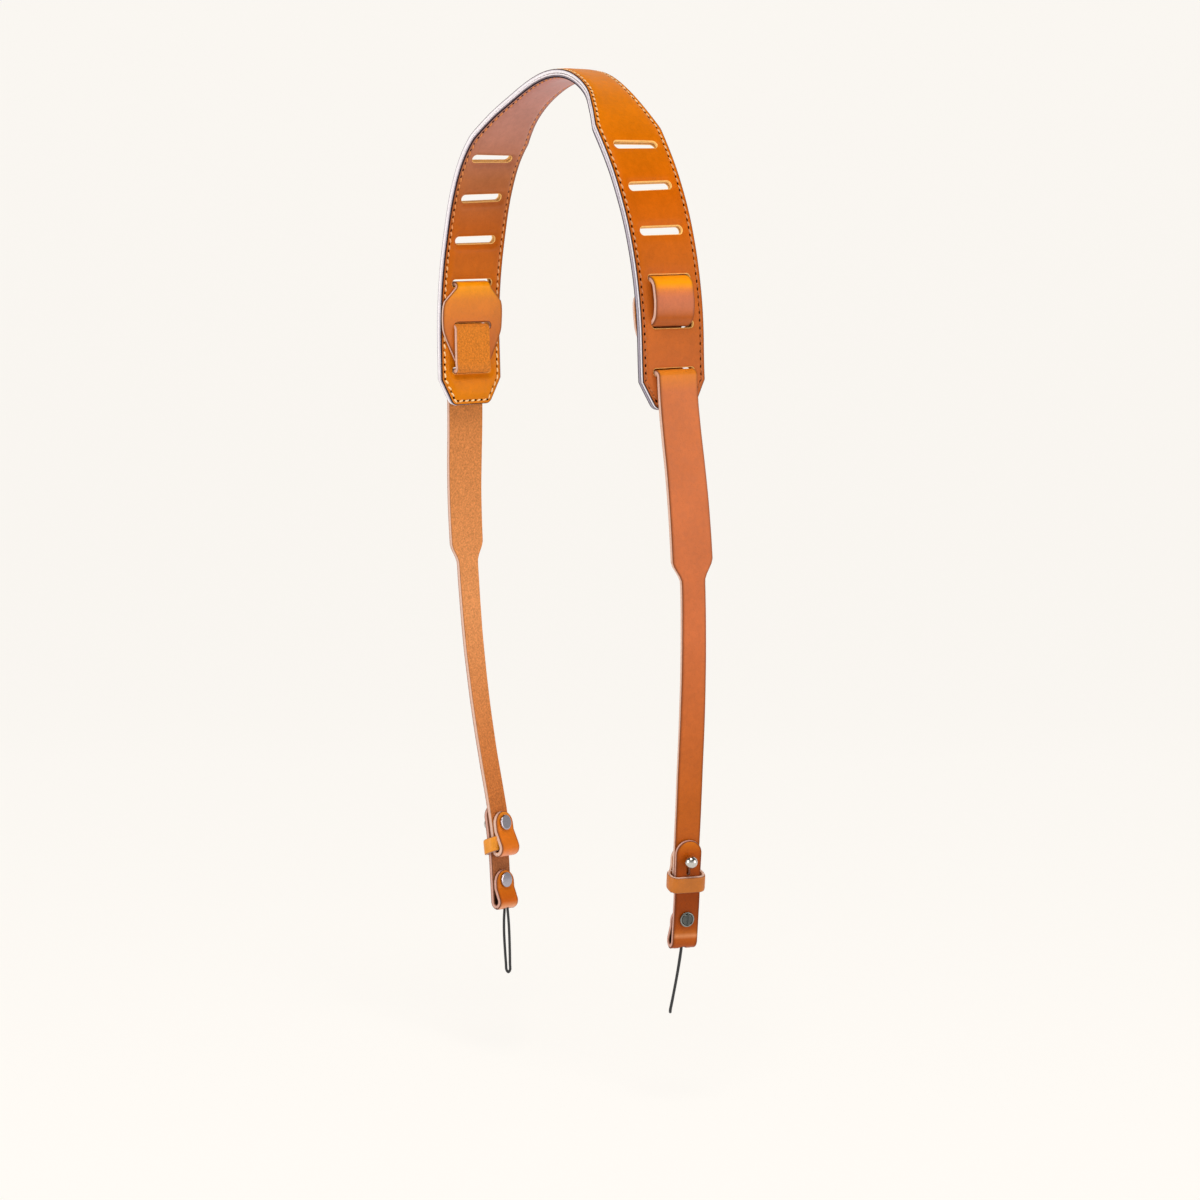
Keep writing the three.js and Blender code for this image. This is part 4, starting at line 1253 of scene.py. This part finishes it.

# Each piece's CAD node, its name, its surfaces, its slot and its finish
HARDWARE = [
    ("ball_stud", "turned_ball_stud", [(turned(ball_profile(), stud_at), True)], "nickel", "nickel"),
    ("stud_screw", "stud_back_disc", [(turned(disc_profile(flap_inner - GAP), stud_at), True)], "nickel",
     "worn"),
    ("connector_screw", "slotted_screw", screw_grids(), "gunmetal", "gunmetal"),
    ("screw_cap", "screw_back_disc", [(turned(disc_profile(inner_flap_face - GAP), screw_at), True)],
     "nickel", "worn"),
]
metals = {"nickel": [], "gunmetal": [], "worn": []}
for side, word in SIDES:
    for node, name, grids, slot, finish in HARDWARE:
        points, faces = weld(grids)
        marks = {"sunk": points[3]} if len(points) > 3 else {}
        piece = make_piece(f"{name}_{word}", points[:3], faces, marks, side)
        piece.data.set_sharp_from_angle(angle=SHARP_ANGLE)
        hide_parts(f"{node}_{word}")
        metals[finish].append(piece)

# %% [markdown]
# ## Materials
# One function turns a hex colour into the linear one that a shader needs, and one adds a node with its
# settings and links. The patterns read Object coordinates in metres, so their scale is 1000 divided by
# the real size of the pattern in millimetres.

# %% Colour and node helpers
MIXED = {"data_type": "RGBA"}
TIMES = {"data_type": "RGBA", "blend_type": "MULTIPLY"}


def colour(code):
    """Linear colour of an sRGB hex value: below 0.04045 it is divided by 12.92, above it is a power."""
    value = np.array([int(code[index:index + 2], 16) for index in (1, 3, 5)]) / 255
    linear = np.where(value <= 0.04045, value / 12.92, ((value + 0.055) / 1.055) ** 2.4)
    return (*[float(part) for part in linear], 1.0)


def add(tree, kind, inputs=(), out=0, stops=(), **settings):
    """Adds one node with its settings, and a ramp's stops as places and hex colours. Its inputs are values
    or links, listed in order or by name or number. It gives the output that the next node reads."""
    new = tree.nodes.new("ShaderNode" + kind)
    for name, value in settings.items():
        setattr(new, name, value)
    for number, (position, code) in enumerate(stops):
        if number >= len(new.color_ramp.elements):
            new.color_ramp.elements.new(position)
        new.color_ramp.elements[number].position = position
        new.color_ramp.elements[number].color = colour(code)
    for name, value in inputs.items() if isinstance(inputs, dict) else enumerate(inputs):
        if isinstance(value, bpy.types.NodeSocket):
            tree.links.new(value, new.inputs[name])
        else:
            new.inputs[name].default_value = value
    return new.outputs[out] if new.outputs else new


def new_material(name):
    """An empty material, its node tree and the place that its patterns read."""
    material = bpy.data.materials.new(name)
    material.use_nodes = True
    tree = material.node_tree
    tree.nodes.clear()
    return material, tree, add(tree, "TexCoord", out="Object")


def finish_material(material, tree, inputs):
    """Puts the shader with its inputs on the material's output."""
    add(tree, "OutputMaterial", [add(tree, "BsdfPrincipled", inputs)])
    print("material", material.name, "has", len(tree.nodes), "nodes")
    return material


def dress(pieces, material):
    for piece in pieces:
        piece.data.materials.clear()
        piece.data.materials.append(material)


# %% [markdown]
# ## Vegetable-tanned leather
# The leathers are cowhide, tanned with bark and dyed through. The hair side keeps its fine pores and
# creases and takes a soft polish. The flesh side is napped and dull, and a cut edge shows pale packed
# fibres. One function mixes the three by the marks that the sheets carry.

# %% Leather
# Sizes of the grain in millimetres
PORE = 0.5
CREASE = 3.2
MOTTLE = 26.0
NAP = 1.15
GRAIN_RISE = 0.00015
NAP_RISE = 0.00025
# Punched walls: pale leather fibres, lightened further as a painted highlight where the rims catch the light
SLOT_WALL_AND_HIGHLIGHT = [(0.0, "#FFD27C"), (0.4, "#F6C47C"), (1.0, "#E0A860")]


def leather(name, tone_and_light, flesh, edge, polish, bump, specular):
    """Leather from the colours of its grain and of its flesh side along the piece, where light and shade are
    painted in, and of its cut edge from face to face, and from how dull its grain is, how deep and how
    bright."""
    material, tree, spot = new_material(name)
    far, rim, through, trimmed, punched = (
        add(tree, "Attribute", out="Fac", attribute_name=mark)
        for mark in ("along", "rim", "flesh", "cut", "punched"))
    mottle, crease, nap = (
        add(tree, "TexNoise", {"Vector": spot, "Scale": 1000 / size, "Detail": detail, "Roughness": rough,
                               "Distortion": swirl})
        for size, detail, rough, swirl in ((MOTTLE, 4.0, 0.55, 0.0), (CREASE, 6.0, 0.62, 0.5),
                                           (NAP, 4.0, 0.75, 0.0)))
    pore = add(tree, "TexVoronoi", {"Vector": spot, "Scale": 1000 / (2 * PORE), "Randomness": 0.95},
               feature="SMOOTH_F1")
    # What is read, from where to where, and the shade or the share that it gives there
    cloud, veins, pits, rubbed, fluff, gloss, flesh_side, cut_side, punched_side = (
        add(tree, "MapRange", limits) for limits in (
            (mottle, 0.36, 0.64, 0.92, 1.03),
            (crease, 0.36, 0.64, 0.94, 1.04),
            (pore, 0.0, 0.32, 0.88, 1.0),
            (rim, 0.0, 1.0, 1.0, 0.52),
            (nap, 0.34, 0.66, 0.7, 1.28),
            (crease, 0.3, 0.7, polish - 0.06, polish + 0.06),
            (through, 0.75, 0.95, 0.0, 1.0),
            (trimmed, 0.1, 0.45, 0.0, 1.0),
            (punched, 0.3, 0.75, 0.0, 1.0)))
    tone = add(tree, "ValToRGB", [far], stops=tone_and_light)
    for shade in (cloud, veins, pits, rubbed):
        tone = add(tree, "Mix", {0: 1.0, 6: tone, 7: shade}, 2, **TIMES)
    # The flesh side, the cut edge and the punched walls are laid over the grain, each under its own fluff.
    # The flesh colours carry painted shadow inside folds, and the wall colours a painted highlight
    for side, share, read, stops in ((flesh_side, 1.0, far, flesh), (cut_side, 0.35, through, edge),
                                     (punched_side, 0.5, through, SLOT_WALL_AND_HIGHLIGHT)):
        given_colour = add(tree, "ValToRGB", [read], stops=stops)
        layer = add(tree, "Mix", {0: share, 6: given_colour, 7: fluff}, 2, **TIMES)
        tone = add(tree, "Mix", {0: side, 6: tone, 7: layer}, 2, **MIXED)
    dull = add(tree, "Math", [flesh_side, cut_side], operation="MAXIMUM")
    relief = add(tree, "Math", [pore, crease], operation="ADD")
    normal = add(tree, "Bump", {"Strength": bump, "Distance": GRAIN_RISE, "Height": relief})
    normal = add(tree, "Bump", {"Strength": add(tree, "Math", [dull, 0.7], operation="MULTIPLY"),
                                "Distance": NAP_RISE, "Height": nap, "Normal": normal})
    rough = add(tree, "MapRange", [dull, 0.0, 1.0, gloss, 0.9])
    return finish_material(material, tree, {"Base Color": tone, "Roughness": rough, "Normal": normal,
                                            "Specular IOR Level": specular})


# %% Colours along each leather, with painted light and shade
# Outer grain: its own orange, brighter at the top as painted light, with a pinkish painted reflection towards
# the ends
OUTER_TONE_AND_PAINTED_LIGHT = [(0.0, "#E48600"), (0.3, "#DC7600"), (0.5, "#CC6200"), (0.7, "#C4641A"), (1.0, "#C06632")]
# Lining: a mauve painted sheen near the top of the loop, and painted light towards its lower ends
LINING_TONE_AND_PAINTED_LIGHT = [(0.0, "#C4908C"), (0.3, "#B87C68"), (0.42, "#B0683C"), (0.55, "#B85C14"), (0.8, "#C86800"),
                 (1.0, "#E08200")]
# Strap: its own tan, with painted highlights on the loop's top and the tab, painted sheen and shade down the
# loop, and a pale painted highlight on the fold's crown
STRAP_TONE_AND_PAINTED_LIGHT = [(0.0, "#B85C10"), (0.05, "#CC7020"), (0.085, "#DC8020"), (0.1, "#F09600"),
                (0.118, "#FA9A00"), (0.13, "#FF9E00"), (0.138, "#D8783C"), (0.146, "#CA7048"),
                (0.158, "#C46C42"), (0.168, "#B85A10"), (0.18, "#BC683A"), (0.255, "#C46A30"),
                (0.265, "#E08410"), (0.28, "#DC7C20"), (0.3, "#CC6E36"), (0.6, "#CC6C38"),
                (0.82, "#BE5E10"), (0.91, "#BA5A0C"), (0.93, "#E89C74"), (0.938, "#F0A684"),
                (0.948, "#DC7204"), (0.985, "#DC7404"), (1.0, "#E88A0A")]
# Connector: its own dark tan, with painted highlights below the screw and on the fold's bend, and a painted
# shade crease between them
CONNECTOR_TONE_AND_PAINTED_LIGHT = [(0.0, "#D07010"), (0.08, "#B85400"), (0.16, "#A44800"), (0.3, "#9A4000"),
                    (0.46, "#943E00"), (0.57, "#A84C04"), (0.6, "#BC6420"), (0.62, "#DC8C58"),
                    (0.64, "#B85A16"), (0.69, "#A84A08"), (0.72, "#E09060"), (0.752, "#F2AC88"),
                    (0.77, "#DC8850"), (0.786, "#CC6000"), (1.0, "#DC7A08")]
PLAIN_FLESH = [(0.0, "#C0763A"), (1.0, "#C0763A")]
# Strap flesh side: its napped tan, and near black inside the fold, which is painted shadow
STRAP_FLESH_AND_PAINTED_SHADE = [(0.0, "#D0802C"), (0.24, "#D27C26"), (0.3, "#C67C40"), (0.6, "#DE945A"), (0.8, "#CC7A3E"),
               (0.9, "#B8682E"), (0.93, "#4A2414"), (0.96, "#2E160C"), (1.0, "#6A3A20")]
# Connector flesh side: its napped brown, and near black inside the fold, which is painted shadow
CONNECTOR_FLESH_AND_PAINTED_SHADE = [(0.0, "#A0623C"), (0.5, "#A0623C"), (0.62, "#4A2418"), (0.7, "#1E0C06"), (0.86, "#2A120A"),
                   (1.0, "#8A5030")]
OUTER_EDGE = [(0.0, "#6A3A18"), (0.1, "#3A2018"), (0.2, "#3E2A28"), (0.28, "#C4BECA"), (0.6, "#F2EEF2"),
              (1.0, "#F2EEF2")]
LINING_EDGE = [(0.0, "#2E2024"), (0.55, "#2A2026"), (0.75, "#7E7684"), (1.0, "#CFCAD4")]
STRAP_EDGE = [(0.0, "#8A4A20"), (0.12, "#7A4630"), (0.25, "#D6AE9C"), (0.75, "#DDBBAA"), (0.9, "#A9704C"),
              (1.0, "#B9743A")]
BURNISHED = [(0.0, "#8A4A24"), (0.12, "#5A3024"), (0.28, "#C8998A"), (0.7, "#CFA292"), (0.88, "#6A3E32"),
             (1.0, "#8A5630")]
# The two keepers are one leather: the right one is darker as painted shade, the left one lighter as painted
# light
KEEPER_SHADED_AND_LIT = ("#C06C14", "#E08E22")
dress([outer_leather], leather("full_grain_cowhide", OUTER_TONE_AND_PAINTED_LIGHT, PLAIN_FLESH, OUTER_EDGE, 0.42, 0.35, 0.07))
dress([inner_leather], leather("smooth_lining_calf", LINING_TONE_AND_PAINTED_LIGHT, PLAIN_FLESH, LINING_EDGE, 0.4, 0.3, 0.1))
dress(straps, leather("bark_tanned_strap_hide", STRAP_TONE_AND_PAINTED_LIGHT, STRAP_FLESH_AND_PAINTED_SHADE, STRAP_EDGE, 0.42, 0.4, 0.2))
dress(connectors, leather("oiled_connector_hide", CONNECTOR_TONE_AND_PAINTED_LIGHT, CONNECTOR_FLESH_AND_PAINTED_SHADE, BURNISHED,
                          0.34, 0.4, 0.14))
for keeper, given_colour in zip(keepers, KEEPER_SHADED_AND_LIT):
    dress([keeper], leather(f"painted_light_{keeper.name}", [(0.0, given_colour), (1.0, given_colour)], PLAIN_FLESH, STRAP_EDGE,
                            0.36, 0.35, 0.4))

# %% [markdown]
# ## Felted core, thread, cord and metals
# The core is pressed pale wool in layers, with a soft fuzzy edge, and painted shade darkens it towards its
# ends, most at the right one. The thread is waxed and slightly glossy, with painted light and shade along it.
# The cord is braided polyester, and the metals are nickel plate and a blackened screw. Thread, cord and the
# painted shade in the awl holes are one kind of stuff: fine fibres, whose colour and relief follow the same
# noise.

# %% Core, thread, cord and metals
CORE_PAINTED_SHADE = [(0.0, "#D8D4DE"), (0.3, "#E8E4EC"), (0.5, "#F4F0F4"), (0.68, "#E2DEE6"), (0.82, "#B4B0BC"),
             (1.0, "#9A96A4")]
FELT_FIBRE = 0.6
FELT_CLOUD = 14
FELT_LAYER = 0.87
FELT_RISE = 0.0003
THREAD_FIBRE = 0.5
CORD_FIBRE = 0.3
FIBRE_RISE = 0.0001
WIPE = 1.2
WAXED = {"Roughness": 0.6, "Specular IOR Level": 0.3}


def felt(name):
    """Felt: two near whites by a slow noise, painted shade along the piece, and a darker line between layers.
    """
    material, tree, spot = new_material(name)
    half, level = (add(tree, "Attribute", out="Fac", attribute_name=mark) for mark in ("half", "level"))
    fuzz = add(tree, "TexNoise", {"Vector": spot, "Scale": 1000 / FELT_FIBRE, "Detail": 5.0,
                                  "Roughness": 0.7})
    cloud = add(tree, "TexNoise", {"Vector": spot, "Scale": 1000 / FELT_CLOUD, "Detail": 3.0})
    turns = add(tree, "Math", [level, LEVEL_REACH / FELT_LAYER * 2 * math.pi], operation="MULTIPLY")
    line = add(tree, "MapRange", [add(tree, "Math", [turns], operation="SINE"), -1.0, -0.5, 0.8, 1.0])
    tone = add(tree, "Mix", {0: cloud, 6: colour("#F0ECF0"), 7: colour("#FFFDFE")}, 2, **MIXED)
    for shade in (add(tree, "ValToRGB", [half], stops=CORE_PAINTED_SHADE), line):
        tone = add(tree, "Mix", {0: 1.0, 6: tone, 7: shade}, 2, **TIMES)
    normal = add(tree, "Bump", {"Strength": 0.7, "Distance": FELT_RISE, "Height": fuzz})
    return finish_material(material, tree, {"Base Color": tone, "Roughness": 0.95, "Normal": normal,
                                            "Sheen Weight": 0.3})


def fibres(name, size, detail, pale, deep, bump, finish, tint=()):
    """Fine fibres of a size in millimetres, between two colours, and where a tint is given, with painted
    light and shade along the piece.
    """
    material, tree, spot = new_material(name)
    strand = add(tree, "TexNoise", {"Vector": spot, "Scale": 1000 / size, "Detail": detail})
    tone = add(tree, "Mix", {0: strand, 6: colour(deep), 7: colour(pale)}, 2, **MIXED)
    if tint:
        shade = add(tree, "ValToRGB", [add(tree, "Attribute", out="Fac", attribute_name="along")], stops=tint)
        tone = add(tree, "Mix", {0: 1.0, 6: tone, 7: shade}, 2, **TIMES)
    normal = add(tree, "Bump", {"Strength": bump, "Distance": FIBRE_RISE, "Height": strand})
    return finish_material(material, tree, {"Base Color": tone, "Normal": normal, **finish})


def plated(name, bright, dim, low, high):
    """Metal with fine wiping marks: roughness and colour wander with a noise, and what is sunk is dark, as
    painted shade in a pressed ring and a darker disc inside it.
    """
    material, tree, spot = new_material(name)
    wipe = add(tree, "TexNoise", {"Vector": spot, "Scale": 1000 / WIPE, "Detail": 5.0, "Roughness": 0.65})
    sunk = add(tree, "Attribute", out="Fac", attribute_name="sunk")
    tone = add(tree, "Mix", {0: wipe, 6: colour(dim), 7: colour(bright)}, 2, **MIXED)
    tone = add(tree, "Mix", {0: sunk, 6: tone, 7: colour("#2A2C2C")}, 2, **MIXED)
    rough = add(tree, "MapRange", [wipe, 0.3, 0.7, low, high])
    return finish_material(material, tree, {"Base Color": tone, "Metallic": 1.0, "Roughness": rough})


dress([core], felt("pressed_wool_felt"))
# The outer thread darkens towards the hanging ends as painted shade, and the inner thread pales towards them
# as painted light
dress([outer_stitches], fibres("waxed_thread", THREAD_FIBRE, 2.0, "#F8D6A4", "#E2AC6C", 0.4, WAXED,
                               [(0.25, "#FFFFFF"), (0.75, "#C48A6C")]))
dress([inner_stitches], fibres("worn_thread_with_painted_light", THREAD_FIBRE, 2.0, "#FFE0B0", "#EEC07C", 0.4, WAXED,
                               [(0.5, "#E4AC84"), (0.85, "#FFFFFF")]))
dress([outer_hole_shade, inner_hole_shade], fibres("awl_hole_shadow", THREAD_FIBRE, 2.0, "#300E04", "#1C0602", 0.4,
                                         {"Roughness": 0.6, "Specular IOR Level": 0.02}))
dress([*cord_pieces.values(), *knots], fibres("braided_polyester", CORD_FIBRE, 3.0, "#2A2C30", "#0B0C0E", 0.5,
                                              {"Roughness": 0.7, "Sheen Weight": 0.25}))
dress(metals["nickel"], plated("nickel_plate", "#D8D6D2", "#B9B6B1", 0.12, 0.26))
# The back discs, whose finish is listed as worn, get a darker copy of the nickel plate
dress(metals["worn"], plated("darker_nickel_plate", "#B6B2BC", "#A29EA8", 0.1, 0.18))
dress(metals["gunmetal"], plated("blackened_steel", "#A2A4A0", "#60645F", 0.22, 0.4))

# %% [markdown]
# ## Light and floor
# The strap hangs in front of a pale sweep, a floor that turns up into a wall, under three broad soft
# boxes: one above, one to the side and one in front. A sky that is palest at eye level fills the shadows.

# %% Stage
FLOOR_LEVEL = -0.561
SWEEP_WIDTH = 9.0
SWEEP_NEAR = -4
SWEEP_BACK = 1.6
SWEEP_BEND = 1.5
SWEEP_TOP = 5
SWEEP_STEPS = 24


def sweep():
    """Floor that turns up into a back wall: a straight run, a quarter circle and another run."""
    bend = np.linspace(0, np.pi / 2, SWEEP_STEPS)
    ahead = np.concatenate([[SWEEP_NEAR], SWEEP_BACK + SWEEP_BEND * np.sin(bend), [SWEEP_BACK + SWEEP_BEND]])
    rise = np.concatenate([[0], SWEEP_BEND * (1 - np.cos(bend)), [SWEEP_TOP]])
    heading = math.radians(AZIMUTH + 90)
    x, y = math.cos(heading), math.sin(heading)
    ahead, rise, aside = ahead[:, None], rise[:, None], np.array([-SWEEP_WIDTH / 2, SWEEP_WIDTH / 2])
    points = np.stack([x * ahead - y * aside, y * ahead + x * aside, rise + FLOOR_LEVEL + 0 * aside])
    mesh = bpy.data.meshes.new("floor")
    mesh.from_pydata(points.reshape(3, -1).T.tolist(), [], grid_faces(len(ahead), 2, False).tolist())
    mesh.shade_smooth()
    floor = bpy.data.objects.new("floor", mesh)
    bpy.context.collection.objects.link(floor)
    return floor


floor = sweep()
floor_material, floor_tree, floor_spot = new_material("pale_paper")
dress([floor], finish_material(floor_material, floor_tree, {
    "Base Color": colour("#6E6C6A"), "Roughness": 0.9, "Specular IOR Level": 0.1,
    "Emission Color": colour("#FAF7F2"), "Emission Strength": 0.893}))

# %% Sky and soft boxes
SKY = [(0.0, "#606060"), (0.4, "#E8E6E2"), (0.5, "#FAF7F2"), (0.62, "#FAF7F2"), (0.75, "#8E8C8A"),
       (1.0, "#5A5958")]
SKY_STRENGTH = 0.58
world = bpy.data.worlds.new("studio")
world.use_nodes = True
sky = world.node_tree
toward = add(sky, "SeparateXYZ", [add(sky, "TexCoord", out="Generated")], out="Z")
glow = add(sky, "ValToRGB", [add(sky, "MapRange", [toward, -1.0, 1.0, 0.0, 1.0])], stops=SKY)
sky.links.new(glow, sky.nodes["Background"].inputs["Color"])
sky.nodes["Background"].inputs["Strength"].default_value = SKY_STRENGTH
bpy.context.scene.world = world

# Name, place, width and height in metres, power in watts and colour. All face the middle of the loop
MIDDLE = (0, 0, -0.25)
SOFT_BOXES = [
    ("top_box", (0.9, -0.5, 1.5), (0.7, 0.7), 21, "#FFFAF0"),
    ("side_box", (1.75, 1.15, -0.1), (1.2, 1.2), 14.5, "#FFF6F0"),
    ("front_box", (-0.1, -2.2, 0.2), (1.2, 1.4), 21, "#FFFAF6"),
]
for name, place, size, power, tint in SOFT_BOXES:
    box = bpy.data.lights.new(name, "AREA")
    box.shape = "RECTANGLE"
    box.size, box.size_y = size
    box.energy = power
    box.color = colour(tint)[:3]
    lamp = bpy.data.objects.new(name, box)
    lamp.location = place
    x, y, z = np.subtract(MIDDLE, place)
    lamp.rotation_euler = (math.atan2(math.hypot(x, y), -z), 0, math.atan2(y, x) - math.pi / 2)
    bpy.context.collection.objects.link(lamp)
print(len(SOFT_BOXES), "soft boxes and a sky of strength", SKY_STRENGTH)
